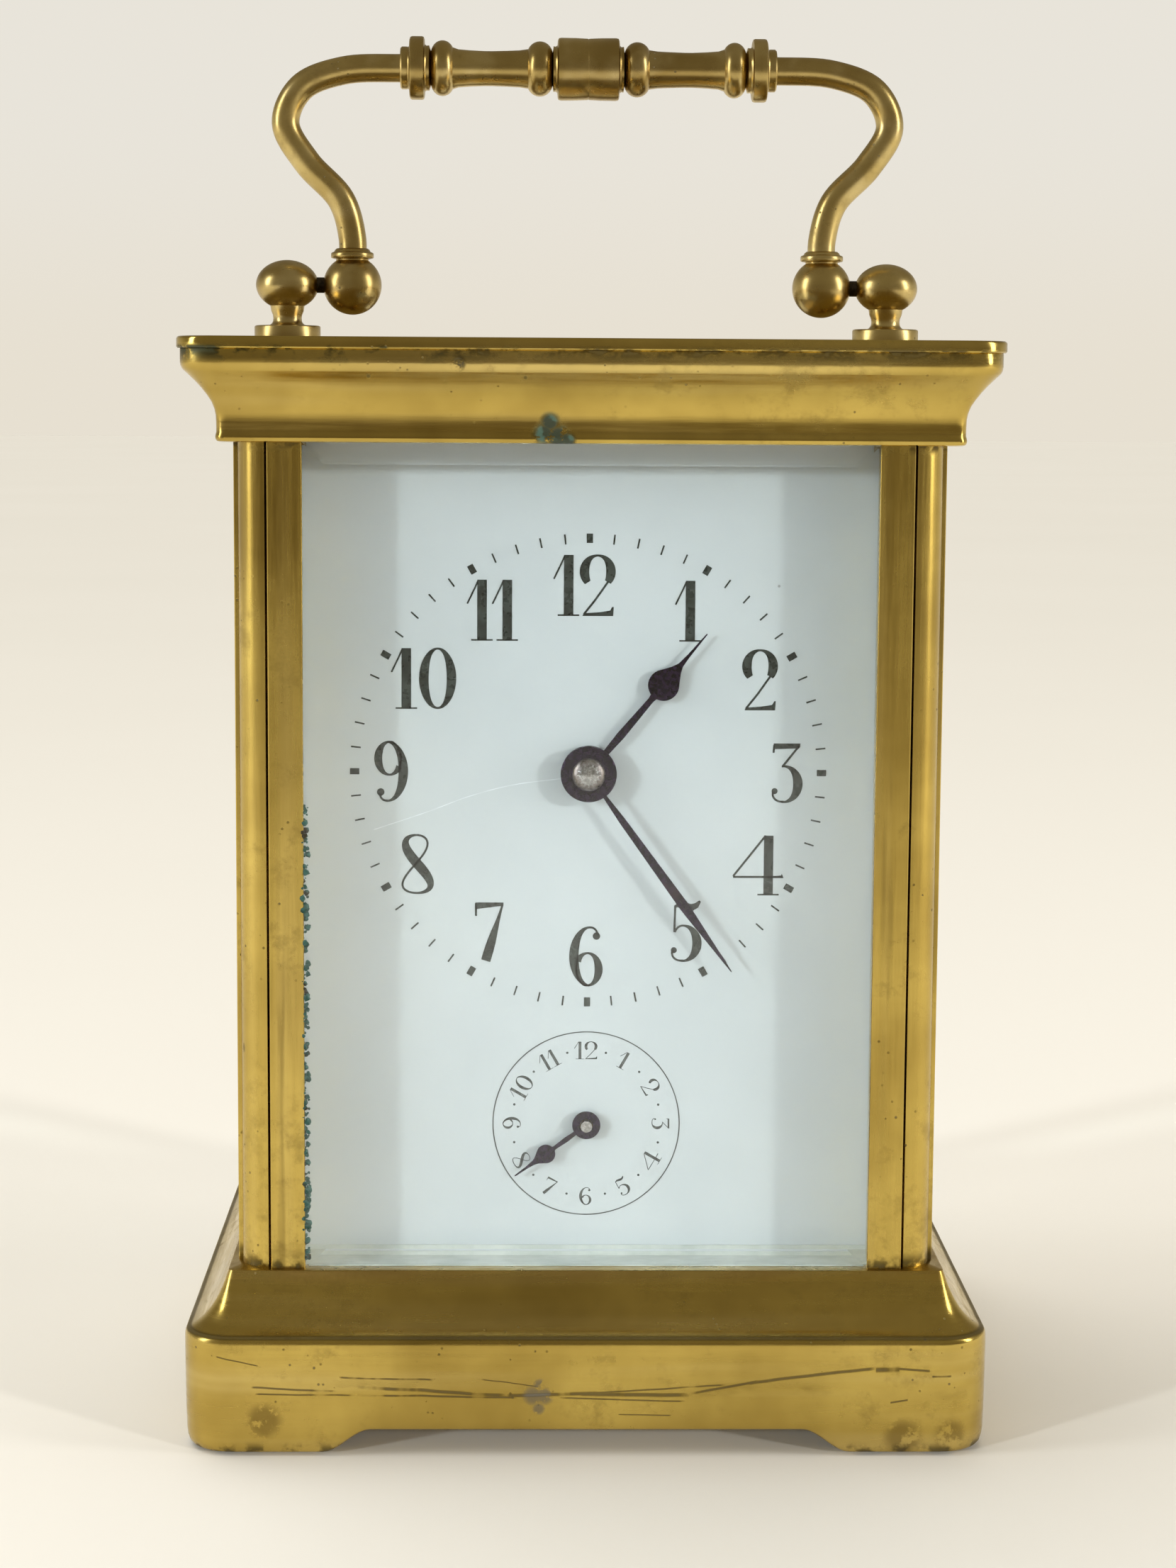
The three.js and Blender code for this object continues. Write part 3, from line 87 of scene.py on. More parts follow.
# ---------------------------------------------------------------- material nodes
class Material:
    """A node material built by short calls. Every call returns an output socket."""

    def __init__(self, name):
        self.data = bpy.data.materials.new(name)
        self.data.use_nodes = True
        self.tree = self.data.node_tree
        self.tree.nodes.clear()
        self.output = self.tree.nodes.new("ShaderNodeOutputMaterial")
        self.position = self.tree.nodes.new("ShaderNodeTexCoord").outputs["Object"]

    def link(self, value, socket):
        if isinstance(value, bpy.types.NodeSocket):
            self.tree.links.new(value, socket)
        else:
            socket.default_value = value

    def math(self, operation, a, b=0.0, c=0.0, clamp=False):
        """One step of arithmetic on sockets or numbers."""
        node = self.tree.nodes.new("ShaderNodeMath")
        node.operation = operation
        node.use_clamp = clamp
        for value, socket in zip((a, b, c), node.inputs):
            self.link(value, socket)
        return node.outputs[0]

    def times(self, *factors):
        """The product of sockets or numbers."""
        product = factors[0]
        for factor in factors[1:]:
            product = self.math("MULTIPLY", product, factor)
        return product

    def off(self, value, middle):
        """How far a value is from middle, either way."""
        return self.math("ABSOLUTE", self.math("SUBTRACT", value, middle))

    def stretched(self, scale):
        """The object's own coordinates, scaled along each axis."""
        node = self.tree.nodes.new("ShaderNodeMapping")
        self.link(self.position, node.inputs["Vector"])
        node.inputs["Scale"].default_value = scale
        return node.outputs[0]

    def noise(self, scale, detail=3.0, stretch=(1, 1, 1), rough=0.5):
        """Noise whose grains are about 1/scale metres across, 0 to 1."""
        node = self.tree.nodes.new("ShaderNodeTexNoise")
        self.link(self.stretched(stretch), node.inputs["Vector"])
        node.inputs["Scale"].default_value = scale
        node.inputs["Detail"].default_value = detail
        node.inputs["Roughness"].default_value = rough
        return node.outputs["Fac"]

    def speck(self, scale, stretch=(1, 1, 1)):
        """Distance to scattered points, in cells."""
        node = self.tree.nodes.new("ShaderNodeTexVoronoi")
        self.link(self.stretched(stretch), node.inputs["Vector"])
        node.inputs["Scale"].default_value = scale
        return node.outputs["Distance"]

    def ramp(self, value, low, high, to_low=0.0, to_high=1.0):
        """value from low to high, carried to to_low to to_high, smooth at both ends."""
        node = self.tree.nodes.new("ShaderNodeMapRange")
        node.interpolation_type = "SMOOTHSTEP"
        self.link(value, node.inputs["Value"])
        for name, number in zip(("From Min", "From Max", "To Min", "To Max"), (low, high, to_low, to_high)):
            node.inputs[name].default_value = number
        return node.outputs["Result"]

    def axes(self):
        """The x, y and z of a place, as three sockets."""
        node = self.tree.nodes.new("ShaderNodeSeparateXYZ")
        self.link(self.position, node.inputs[0])
        return node.outputs

    def mix(self, factor, a, b):
        """Colour a where the factor is 0, b where it is 1."""
        node = self.tree.nodes.new("ShaderNodeMix")
        node.data_type = "RGBA"
        colours = [s for s in node.inputs if s.type == "RGBA"]
        self.link(factor, node.inputs["Factor"])
        for value, socket in zip((a, b), colours):
            self.link(value if isinstance(value, bpy.types.NodeSocket) else (*value, 1.0), socket)
        return next(s for s in node.outputs if s.type == "RGBA")

    def bump(self, height, distance_mm):
        """A normal for relief that is distance_mm deep."""
        node = self.tree.nodes.new("ShaderNodeBump")
        self.link(height, node.inputs["Height"])
        node.inputs["Distance"].default_value = distance_mm * MM
        node.inputs["Strength"].default_value = 1.0
        return node.outputs[0]

    def near(self, x, z, radius_mm):
        """1 inside a round spot on the front or the back, fading to 0 at its edge."""
        at = self.axes()
        dx = self.math("SUBTRACT", at[0], x * MM)
        dz = self.math("SUBTRACT", at[2], z * MM)
        distance = self.math("SQRT", self.math("ADD", self.times(dx, dx), self.times(dz, dz)))
        return self.ramp(distance, radius_mm * MM, radius_mm * 0.4 * MM)

    def most(self, *masks):
        """The strongest of several masks."""
        total = masks[0]
        for mask in masks[1:]:
            total = self.math("MAXIMUM", total, mask)
        return total

    def surface(self, **inputs):
        """A Principled shader as the surface, with its inputs by name."""
        shader = self.tree.nodes.new("ShaderNodeBsdfPrincipled")
        for name, value in inputs.items():
            self.link(value, shader.inputs[name.replace("_", " ")])
        self.tree.links.new(shader.outputs[0], self.output.inputs["Surface"])
        return shader


# ---------------------------------------------------------------- materials
DEEP_BRASS, BRASS, PALE_BRASS = (0.42, 0.290, 0.065), (0.64, 0.465, 0.115), (0.84, 0.67, 0.29)
BRASS_TONES = (DEEP_BRASS, BRASS, PALE_BRASS)
HANDLE_TONES = ((0.38, 0.265, 0.085), (0.64, 0.490, 0.190), (0.80, 0.66, 0.34))
GILT_TONES = ((0.52, 0.34, 0.085), (0.70, 0.50, 0.18), (0.84, 0.66, 0.32))
BELL_TONES = ((0.33, 0.24, 0.09), (0.46, 0.36, 0.16), (0.62, 0.52, 0.28))
# The second colour below is near-black dirt, and also painted shade where a mask paints shade with it.
BROWN_TARNISH, DIRT_AND_SHADE, RUST = (0.125, 0.075, 0.022), (0.030, 0.024, 0.014), (0.10, 0.055, 0.03)
# The first colour below is a painted reflection: warm brown at the top of the base's cove.
COVE_REFLECTION_BROWN, OCHRE, SCORED_BROWN = (0.28, 0.12, 0.025), (0.20, 0.13, 0.03), (0.085, 0.058, 0.018)
# The first colour below is painted shade: the lid's shadow on the cornice, in dark brown.
LID_SHADOW_BROWN, LEAD_GREY, PIN_HOLE = (0.050, 0.034, 0.012), (0.17, 0.165, 0.15), (0.16, 0.15, 0.14)
DARK_VERDIGRIS, VERDIGRIS = (0.012, 0.030, 0.024), (0.016, 0.050, 0.038)
PALE_VERDIGRIS = (0.045, 0.110, 0.092)
LEVEL_GRAIN, UPRIGHT_GRAIN, NO_GRAIN = (0.05, 0.05, 1), (1, 1, 0.04), (1, 1, 1)

# Marks in millimetres. Scratches on the plinth: x, z, x, z, width, waver. Spots: x, z, radius, grain.
PLINTH_SCRATCHES = (
    (-34.9, 7.1, -26.0, 6.8, 0.15, 0.7),
    (-34.5, 6.4, -24.0, 6.4, 0.12, 0.5),
    (-25.8, 8.3, -15.8, 8.0, 0.13, 0.6),
    (-24.0, 7.3, -8.2, 6.3, 0.26, 0.8),
    (-24.0, 6.4, -7.0, 6.1, 0.16, 0.6),
    (-11.0, 8.1, -5.0, 7.3, 0.08, 0.9),
    (-8.4, 6.3, 1.5, 6.6, 0.27, 0.5),
    (0.3, 6.6, 14.6, 7.5, 0.13, 0.5),
    (-1.0, 6.5, 11.2, 6.4, 0.30, 0.6),
    (-3.0, 6.1, 10.5, 5.7, 0.12, 0.5),
    (10.6, 6.5, 18.0, 7.9, 0.20, 0.4),
    (16.5, 7.6, 30.2, 9.3, 0.24, 0.5),
    (30.0, 9.1, 32.6, 9.2, 0.36, 0.5),
    (32.0, 9.3, 35.8, 9.0, 0.17, 0.5),
    (35.9, 8.4, 38.0, 8.4, 0.15, 0.3),
    (31.6, 5.6, 33.5, 5.9, 0.14, 0.4),
    (3.2, 4.3, 8.9, 4.2, 0.10, 0.4),
    (-38.5, 10.4, -34.0, 9.2, 0.09, 1.6),
)
PLINTH_SPOTS = ((-33.5, 3.6, 2.4, 700), (33.0, 1.8, 2.6, 450), (38.0, 2.0, 2.2, 450))
PLINTH_GREY = ((-5.6, 6.3, 1.3, 900), (-4.4, 6.3, 1.2, 900), (-4.9, 7.5, 0.8, 900), (-5.0, 4.9, 0.8, 900))
CORNICE_SPOTS = ((-4.9, 105.6, 1.5), (-3.4, 105.3, 1.7), (-4.3, 106.8, 1.3), (-2.4, 105.0, 1.0))
CORNICE_NICK = (-13.5, 112.6, 1.0, 450)
SCRATCH_BAND, PLINTH_ARRIS, LID_SHADE, DOT_BAND = 6.9, 12.35, (112.2, 114.5), 111.4  # heights


def brass(name, grain, tones=BRASS_TONES, tarnish=0.35, shine=0.17, streaky=0.4, texture=1.0, marks=None):
    """Polished brass gone dull: rubbing along the grain, clouds of tarnish, small pits, and the marks
    that marks(m) adds as a list of (mask, colour). shine is its lowest roughness, and texture says how
    deep the rubbing is."""
    m = Material(name)
    streaks = m.noise(1500, 4, grain, 0.65)
    broad_streaks = m.noise(260, 2, grain)
    clouds = m.noise(45, 4, rough=0.6)
    fine_clouds = m.noise(330, 4, rough=0.7)
    colour = m.mix(m.ramp(clouds, 0.30, 0.70), tones[0], tones[1])
    colour = m.mix(m.ramp(broad_streaks, 0.45, 0.75, 0.0, streaky), colour, tones[2])
    both_clouds = m.math("ADD", m.times(clouds, 0.5), m.times(fine_clouds, 0.5))
    dull = m.times(m.ramp(both_clouds, 0.52, 0.70), tarnish)
    colour = m.mix(dull, colour, BROWN_TARNISH)
    pits = m.times(m.ramp(m.speck(900), 0.16, 0.08), m.ramp(m.noise(120, 2), 0.52, 0.66))
    colour = m.mix(m.times(pits, 0.75), colour, DIRT_AND_SHADE)
    # crust takes in the pits and every mark's mask, the painted shade and painted reflection among them, and
    # dulls, roughens and dents them all.
    crust = pits
    for mask, tone in marks(m) if marks else ():
        colour = m.mix(mask, colour, tone)
        crust = m.most(crust, mask)
    rubbed = m.ramp(streaks, 0.3, 0.7, shine, shine + 0.13 * texture)
    rough = m.math("ADD", rubbed, m.times(dull, 0.45))
    rough = m.math("ADD", rough, m.times(crust, 0.4), clamp=True)
    height = m.math("SUBTRACT", m.times(streaks, 0.5), crust)
    m.surface(
        Base_Color=colour,
        Metallic=m.ramp(crust, 0.60, 1.0, 1.0, 0.15),
        Roughness=rough,
        Normal=m.bump(height, 0.012 * texture),
    )
    return m.data


def on_front(m, y_mm):
    """1 on faces that lie before y_mm, 0 behind."""
    return m.ramp(m.axes()[1], y_mm * MM, (y_mm - 0.6) * MM)


def scratch(m, x0, z0, x1, z1, width, waver):
    """A wavering scratch between two places on the front."""
    x, _, z = m.axes()
    share = m.math("DIVIDE", m.math("SUBTRACT", x, x0 * MM), (x1 - x0) * MM)
    wave = m.times(m.math("SUBTRACT", m.noise(70, 3, (1, 0, 0)), 0.5), waver * MM)
    line = m.math("ADD", m.math("MULTIPLY_ADD", share, (z1 - z0) * MM, z0 * MM), wave)
    inside = m.times(m.ramp(share, 0.0, 0.05), m.ramp(share, 1.0, 0.93))
    broken = m.ramp(m.noise(300, 3, (1, 1, 0.3)), 0.30, 0.46, 0.15, 1.0)
    return m.times(m.ramp(m.off(z, line), width * MM, width * 0.25 * MM), inside, broken)


def blotches(m, *spots):
    """Irregular spots on the front."""
    ragged = []
    for x, z, radius, grain in spots:
        ragged.append(m.times(m.near(x, z, radius), m.ramp(m.noise(grain, 4, rough=0.7), 0.40, 0.50)))
    return m.most(*ragged)


def base_marks(m):
    front, height = on_front(m, -PILLAR_Y - 4), m.axes()[2]
    scratches = m.most(*[scratch(m, *line) for line in PLINTH_SCRATCHES])
    patches = m.ramp(m.noise(140, 4, (0.35, 1, 1), 0.65), 0.50, 0.66, 0.0, 0.45)
    smears = m.times(m.ramp(m.off(height, SCRATCH_BAND * MM), 1.4 * MM, 0.2 * MM), patches)
    spots, grey = blotches(m, *PLINTH_SPOTS), blotches(m, *PLINTH_GREY)
    # Darker towards the foot of the base, in its lowest 1.5 mm of height.
    darker_near_ends = m.times(m.ramp(height, 1.5 * MM, 0.2 * MM), m.ramp(m.noise(500, 3), 0.42, 0.6))
    # A painted dark line of shade in the crease at the plinth's arris.
    arris_shade_line = m.ramp(m.off(height, PLINTH_ARRIS * MM), 0.28 * MM, 0.05 * MM)
    uneven = m.ramp(m.noise(110, 3), 0.35, 0.6, 0.05, 0.30)
    return [
        # painted warm-brown reflection along the top of the cove
        (m.times(m.ramp(height, 16.6 * MM, 18.0 * MM), uneven), COVE_REFLECTION_BROWN),
        (m.times(smears, front), OCHRE),
        (m.times(scratches, front, 0.85), SCORED_BROWN),
        (m.times(spots, front, 0.50), BROWN_TARNISH),
        (m.times(grey, front, 0.6), LEAD_GREY),
        (m.times(darker_near_ends, 0.8), DIRT_AND_SHADE),
        # painted shade line at the arris
        (m.times(arris_shade_line, 0.75), DIRT_AND_SHADE),
    ]


def cornice_marks(m):
    front = on_front(m, -PILLAR_Y + 2)
    x, _, height = m.axes()
    uneven = m.ramp(m.noise(900, 4, rough=0.7), 0.36, 0.46)
    blot = m.times(m.most(*[m.near(*spot) for spot in CORNICE_SPOTS]), uneven, front)
    nick = m.times(blotches(m, CORNICE_NICK), front)
    low, high = LID_SHADE
    above, below = m.ramp(height, low * MM, (low + 1.7) * MM), m.ramp(height, high * MM, (high - 0.4) * MM)
    under_lid = m.times(above, below)
    # Patches just under the lid: painted shadow of the lid, with real verdigris in their left part.
    lid_shadow_and_verdigris = m.times(under_lid, m.ramp(m.noise(260, 4, (0.6, 1, 1), 0.75), 0.46, 0.60))
    green = m.times(lid_shadow_and_verdigris, m.ramp(x, -8 * MM, -22 * MM), front)
    band = m.ramp(m.off(height, DOT_BAND * MM), 0.7 * MM, 0.2 * MM)
    dots = m.times(m.ramp(m.speck(420, (1, 0.2, 1)), 0.14, 0.06), band)
    blue_green = m.mix(m.ramp(m.noise(700, 3), 0.50, 0.62), DARK_VERDIGRIS, PALE_VERDIGRIS)
    return [
        # painted shadow of the lid
        (m.times(lid_shadow_and_verdigris, 0.8), LID_SHADOW_BROWN),
        (m.times(green, 0.6), VERDIGRIS),
        (m.times(dots, 0.6), DIRT_AND_SHADE),
        (m.times(nick, 0.9), DIRT_AND_SHADE),
        (m.times(blot, 0.95), blue_green),
    ]


def pillar_marks(m):
    height = m.axes()[2]
    # Darker near both ends of each pillar, where it meets the base and the cornice.
    ends = m.most(m.ramp(height, 20.4 * MM, 18.5 * MM), m.ramp(height, 103.4 * MM, 104.5 * MM))
    darker_near_ends = m.times(ends, m.ramp(m.noise(520, 3), 0.44, 0.60))
    runs = m.ramp(m.noise(420, 3, (1, 1, 0.06)), 0.60, 0.72)
    nicks = m.times(m.ramp(m.speck(260, (1, 1, 0.5)), 0.10, 0.05), m.ramp(height, 60 * MM, 30 * MM))
    return [(m.times(runs, 0.3), BROWN_TARNISH), (m.times(darker_near_ends, 0.8), DIRT_AND_SHADE), (m.times(nicks, 0.7), DIRT_AND_SHADE)]


BASE_BRASS = brass("base brass", LEVEL_GRAIN, marks=base_marks, shine=0.15)
CORNICE_BRASS = brass("cornice brass", LEVEL_GRAIN, marks=cornice_marks, shine=0.11)
PILLAR_BRASS = brass("pillar brass", UPRIGHT_GRAIN, marks=pillar_marks, shine=0.17, streaky=0.2)
PLAIN_BRASS = brass("plain brass", LEVEL_GRAIN)
HANDLE_BRASS = brass("handle brass", NO_GRAIN, HANDLE_TONES, tarnish=0.40, shine=0.27, texture=0.3)
GILT = brass("gilt brass", NO_GRAIN, GILT_TONES, tarnish=0.15, shine=0.27, streaky=0.15)
BELL_METAL = brass("bell metal", LEVEL_GRAIN, BELL_TONES, tarnish=0.4, shine=0.25)


def steel(name, dark, light, shine, grain):
    """Steel between two tones, with fine lines along the grain and a few stains."""
    m = Material(name)
    lines = m.noise(2200, 3, grain, 0.6)
    stain = m.ramp(m.noise(260, 4, rough=0.65), 0.56, 0.72)
    colour = m.mix(m.ramp(lines, 0.35, 0.65), dark, light)
    colour = m.mix(m.times(stain, 0.3), colour, RUST)
    rough = m.math("ADD", m.ramp(lines, 0.3, 0.7, shine, shine + 0.12), m.times(stain, 0.25))
    m.surface(Base_Color=colour, Metallic=1.0, Roughness=rough, Normal=m.bump(lines, 0.006))
    return m.data


STEEL = steel("polished steel", (0.36, 0.36, 0.37), (0.56, 0.56, 0.57), 0.18, (1, 0.08, 1))
BLUED_STEEL = steel("blued steel", (0.010, 0.008, 0.022), (0.035, 0.020, 0.055), 0.22, NO_GRAIN)
DOME_STEEL = steel("dusty steel dome", (0.20, 0.175, 0.175), (0.34, 0.31, 0.31), 0.26, NO_GRAIN)
DARK_PIN = steel("dark steel pin", (0.030, 0.024, 0.018), (0.075, 0.058, 0.040), 0.35, NO_GRAIN)


def enamel():
    """Fired white enamel: faintly uneven, with pin holes and a cool tint."""
    m = Material("white enamel")
    cloud = m.noise(38, 4, rough=0.6)
    colour = m.mix(m.ramp(cloud, 0.35, 0.65), (0.405, 0.445, 0.468), (0.432, 0.472, 0.494))
    holes = m.times(m.ramp(m.speck(210), 0.045, 0.02), m.ramp(m.noise(60, 2), 0.55, 0.62))
    colour = m.mix(m.times(holes, 0.6), colour, PIN_HOLE)
    orange_peel = m.noise(900, 2)
    m.surface(
        Base_Color=colour,
        Roughness=m.ramp(cloud, 0.3, 0.7, 0.10, 0.17),
        Normal=m.bump(orange_peel, 0.004),
        Coat_Weight=0.4,
        Coat_Roughness=0.06,
    )
    return m.data


def dial_ink(name, dark, light):
    m = Material(name)
    colour = m.mix(m.ramp(m.noise(800, 3), 0.35, 0.7), dark, light)
    m.surface(Base_Color=colour, Roughness=m.ramp(m.noise(1500, 2), 0.3, 0.7, 0.22, 0.38))
    return m.data


ENAMEL = enamel()
INK = dial_ink("dial black", (0.010, 0.014, 0.013), (0.026, 0.034, 0.031))
FINE_INK = dial_ink("dial fine black", (0.030, 0.036, 0.036), (0.075, 0.085, 0.085))
CRACK_GREY = dial_ink("hairline grey", (0.50, 0.55, 0.58), (0.62, 0.67, 0.70))


def glass():
    """Clear plate glass with a green body and a few wipe marks. Lamps shine through it."""
    m = Material("bevelled glass")
    wipes = m.ramp(m.noise(28, 4, (1, 1, 0.35), 0.6), 0.52, 0.75)
    pane = m.surface(
        Base_Color=m.mix(wipes, (0.975, 0.99, 0.985), (0.955, 0.975, 0.97)),
        Roughness=m.times(wipes, 0.015),
        IOR=1.5,
        Transmission_Weight=1.0,
    )
    path = m.tree.nodes.new("ShaderNodeLightPath")
    clear = m.tree.nodes.new("ShaderNodeBsdfTransparent")
    clear.inputs["Color"].default_value = (0.93, 0.955, 0.95, 1.0)
    both = m.tree.nodes.new("ShaderNodeMixShader")
    m.tree.links.new(path.outputs["Is Shadow Ray"], both.inputs[0])
    m.tree.links.new(pane.outputs[0], both.inputs[1])
    m.tree.links.new(clear.outputs[0], both.inputs[2])
    m.tree.links.new(both.outputs[0], m.output.inputs["Surface"])
    return m.data


GLASS = glass()


def verdigris():
    m = Material("verdigris crust")
    colour = m.mix(m.ramp(m.noise(1400, 4, rough=0.7), 0.40, 0.62), VERDIGRIS, PALE_VERDIGRIS)
    colour = m.mix(m.ramp(m.noise(600, 2), 0.58, 0.68), colour, DIRT_AND_SHADE)
    rough = m.ramp(m.noise(900, 3), 0.3, 0.7, 0.7, 0.95)
    m.surface(Base_Color=colour, Roughness=rough, Normal=m.bump(m.noise(2600, 3), 0.05))
    return m.data


def lining():
    m = Material("deck lining")
    cloud = m.ramp(m.noise(160, 4, rough=0.65), 0.35, 0.65)
    colour = m.mix(cloud, (0.33, 0.37, 0.35), (0.44, 0.48, 0.46))
    rough = m.ramp(m.noise(400, 3), 0.3, 0.7, 0.30, 0.45)
    m.surface(Base_Color=colour, Roughness=rough, Normal=m.bump(m.noise(1200, 2), 0.01))
    return m.data


CRUST, LINING = verdigris(), lining()


def paint(obj, material):
    """Gives an object one material, in place of any it has."""
    obj.data.materials.clear()
    obj.data.materials.append(material)
    return obj


# ---------------------------------------------------------------- mesh tools, in millimetres
def piece(name, points, faces, material, body, slot, stands_for=(), smooth_below=35):
    """A mesh piece that rides on a body. Faces meet smoothly below that angle in degrees."""
    mesh = bpy.data.meshes.new(name)
    mesh.from_pydata([[c * MM for c in p] for p in points], [], faces)
    mesh.validate()
    shell = bmesh.new()
    shell.from_mesh(mesh)
    bmesh.ops.recalc_face_normals(shell, faces=shell.faces)
    shell.to_mesh(mesh)
    shell.free()
    mesh.update()
    obj = bpy.data.objects.new(name, mesh)
    SCENE.collection.objects.link(obj)
    paint(obj, material)
    for polygon in mesh.polygons:
        polygon.use_smooth = True
    mesh.set_sharp_from_angle(angle=math.radians(smooth_below))
    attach(obj, body)
    if stands_for:
        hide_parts(*stands_for)
    return obj


def soften(obj, width_mm, angle):
    """Rounds the edges that are sharper than angle a little, so that they catch light as worn edges do."""
    bevel = obj.modifiers.new("worn edges", "BEVEL")
    bevel.width = width_mm * MM
    bevel.segments = 2
    bevel.limit_method = "ANGLE"
    bevel.angle_limit = math.radians(angle)


def lathe(profile, segments=64, axis="Z", centre=(0, 0, 0)):
    """Points and faces of a turned shape. The profile is (radius, along) from end to end."""
    points, faces, rows = [], [], []
    for radius, along in profile:
        if radius < 1e-6:
            rows.append([len(points)])
            points.append((0, 0, along))
            continue
        rows.append(list(range(len(points), len(points) + segments)))
        for i in range(segments):
            a = 2 * math.pi * i / segments
            points.append((radius * math.cos(a), radius * math.sin(a), along))
    for low, high in zip(rows, rows[1:]):
        for i in range(segments):
            j = (i + 1) % segments
            quad = [low[i % len(low)], low[j % len(low)], high[j % len(high)], high[i % len(high)]]
            ring = [v for k, v in enumerate(quad) if v != quad[k - 1]]
            if len(ring) > 2:
                faces.append(ring)
    turn = {"Z": lambda p: p, "X": lambda p: (p[2], p[0], p[1]), "Y": lambda p: (p[1], p[2], p[0])}[axis]
    return [tuple(a + b for a, b in zip(turn(p), centre)) for p in points], faces


def arc(cx, cy, rx, ry, from_deg, to_deg, steps):
    """Places along a part of an ellipse."""
    angles = [math.radians(from_deg + (to_deg - from_deg) * i / steps) for i in range(steps + 1)]
    return [(cx + rx * math.cos(a), cy + ry * math.sin(a)) for a in angles]


def plan(half_x, half_y, radius, straight_x, straight_y, corner=9):
    """A rounded rectangle, anticlockwise. straight_x and straight_y are extra places along the
    sides, as shares of the straight part from -1 to 1."""
    inner_x, inner_y = half_x - radius, half_y - radius
    sides = {
        0: [(half_x, t * inner_y) for t in straight_y],
        90: [(-t * inner_x, half_y) for t in straight_x],
        180: [(-half_x, -t * inner_y) for t in straight_y],
        270: [(t * inner_x, -half_y) for t in straight_x],
    }
    loop = []
    for start, (sx, sy) in zip((0, 90, 180, 270), ((1, 1), (-1, 1), (-1, -1), (1, -1))):
        loop += sides[start]
        loop += arc(sx * inner_x, sy * inner_y, radius, radius, start, start + 90, corner)
    return loop


def skin(loops, closed=False):
    """Faces between loops of equal length; closed joins the last loop to the first."""
    count = len(loops[0])
    faces = []
    for level in range(len(loops) if closed else len(loops) - 1):
        low, high = level * count, ((level + 1) % len(loops)) * count
        for i in range(count):
            j = (i + 1) % count
            faces.append((low + i, low + j, high + j, high + i))
    return [p for loop in loops for p in loop], faces


def shares(places, whole):
    """Places in millimetres from the middle, as shares of a half length, on both sides of it."""
    ordered = sorted({round(s * p / whole, 5) for p in places for s in (-1, 1)})
    return [t for t in ordered if abs(t) < 0.999]


def smooth(t):
    """0 to 1 with an easy start and end."""
    t = max(0.0, min(1.0, t))
    return t * t * (3 - 2 * t)


def join_parts(parts):
    """Several (points, faces) as one."""
    points, faces = [], []
    for more_points, more_faces in parts:
        offset = len(points)
        points += more_points
        faces += [tuple(v + offset for v in f) for f in more_faces]
    return points, faces


def end_faces(points, count):
    """The two end faces of a skin whose loops have count points."""
    return [tuple(reversed(range(count))), tuple(range(len(points) - count, len(points)))]


# ---------------------------------------------------------------- case mouldings
ARCH_TOP, ARCH_RUN, ARCH_X, ARCH_Y = 2.4, 5.0, 27.5, 21.7
BASE_RADIUS, BASE_OVER = 5.3, BASE_X - PILLAR_X
STEPS = [ARCH_RUN * i / 10 for i in range(11)]
BASE_SHARES_X = shares([0, 8, 16] + [ARCH_X - s for s in STEPS] + [32], PILLAR_X + BASE_OVER - BASE_RADIUS)
BASE_SHARES_Y = shares([0, 7, 13] + [ARCH_Y - s for s in STEPS] + [26], PILLAR_Y + BASE_OVER - BASE_RADIUS)


def arch_height(x, y):
    """How far the arch lifts the lower edge at a place on the wall."""
    along, half = (abs(x), ARCH_X) if abs(y) > PILLAR_Y else (abs(y), ARCH_Y)
    return ARCH_TOP * smooth((half - along) / ARCH_RUN)


def base_loop(over, z, radius=None, half=None):
    """A loop round the base, over millimetres outside the pillars, with the arches in its lower part."""
    radius = radius if radius is not None else max(0.8, BASE_RADIUS - (BASE_OVER - over))
    half_x, half_y = half or (PILLAR_X + over, PILLAR_Y + over)
    loop = plan(half_x, half_y, radius, BASE_SHARES_X, BASE_SHARES_Y)
    return [(x, y, z + arch_height(x, y) * max(0.0, 1 - z / 8)) for x, y in loop]


def make_base():
    deck_under = BASE_TOP - 2.0
    foot = [(4.45, 0.0), (4.72, 0.10), (4.95, 0.36), (5.10, 0.85)]
    wall = [(5.20, 1.6), (5.27, 4.0), (5.33, 8.0), (BASE_OVER, 11.6)]
    arris = [(BASE_OVER - 0.05, 11.95), (BASE_OVER - 0.17, 12.2), (BASE_OVER - 0.36, 12.34)]
    outer, bend, inner = Vector(arris[-1]), Vector((2.25, 13.65)), Vector((0.75, BASE_TOP - 0.05))
    cove = [tuple(outer.lerp(bend, t / 16).lerp(bend.lerp(inner, t / 16), t / 16)) for t in range(1, 17)]
    loops = [base_loop(over, z) for over, z in foot + wall + arris + cove + [(0.66, BASE_TOP)]]
    loops += [base_loop(0, BASE_TOP, 2.0, (25, 10)), base_loop(0, deck_under, 2.0, (25, 10))]
    loops += [base_loop(0, deck_under, 2.0, (35.5, 29.7)), base_loop(0, 10.95, 2.0, (35.5, 29.7))]
    loops += [base_loop(0, 10.95, 2.5, (39.2, 33.4)), base_loop(0, 3.9, 2.5, (39.2, 33.4))]
    loops += [base_loop(0, 0.0, 2.5, (39.2, 33.4))]
    piece("moulded_base", *skin(loops, True), BASE_BRASS, "case", "case_brass", ["base"], 28)


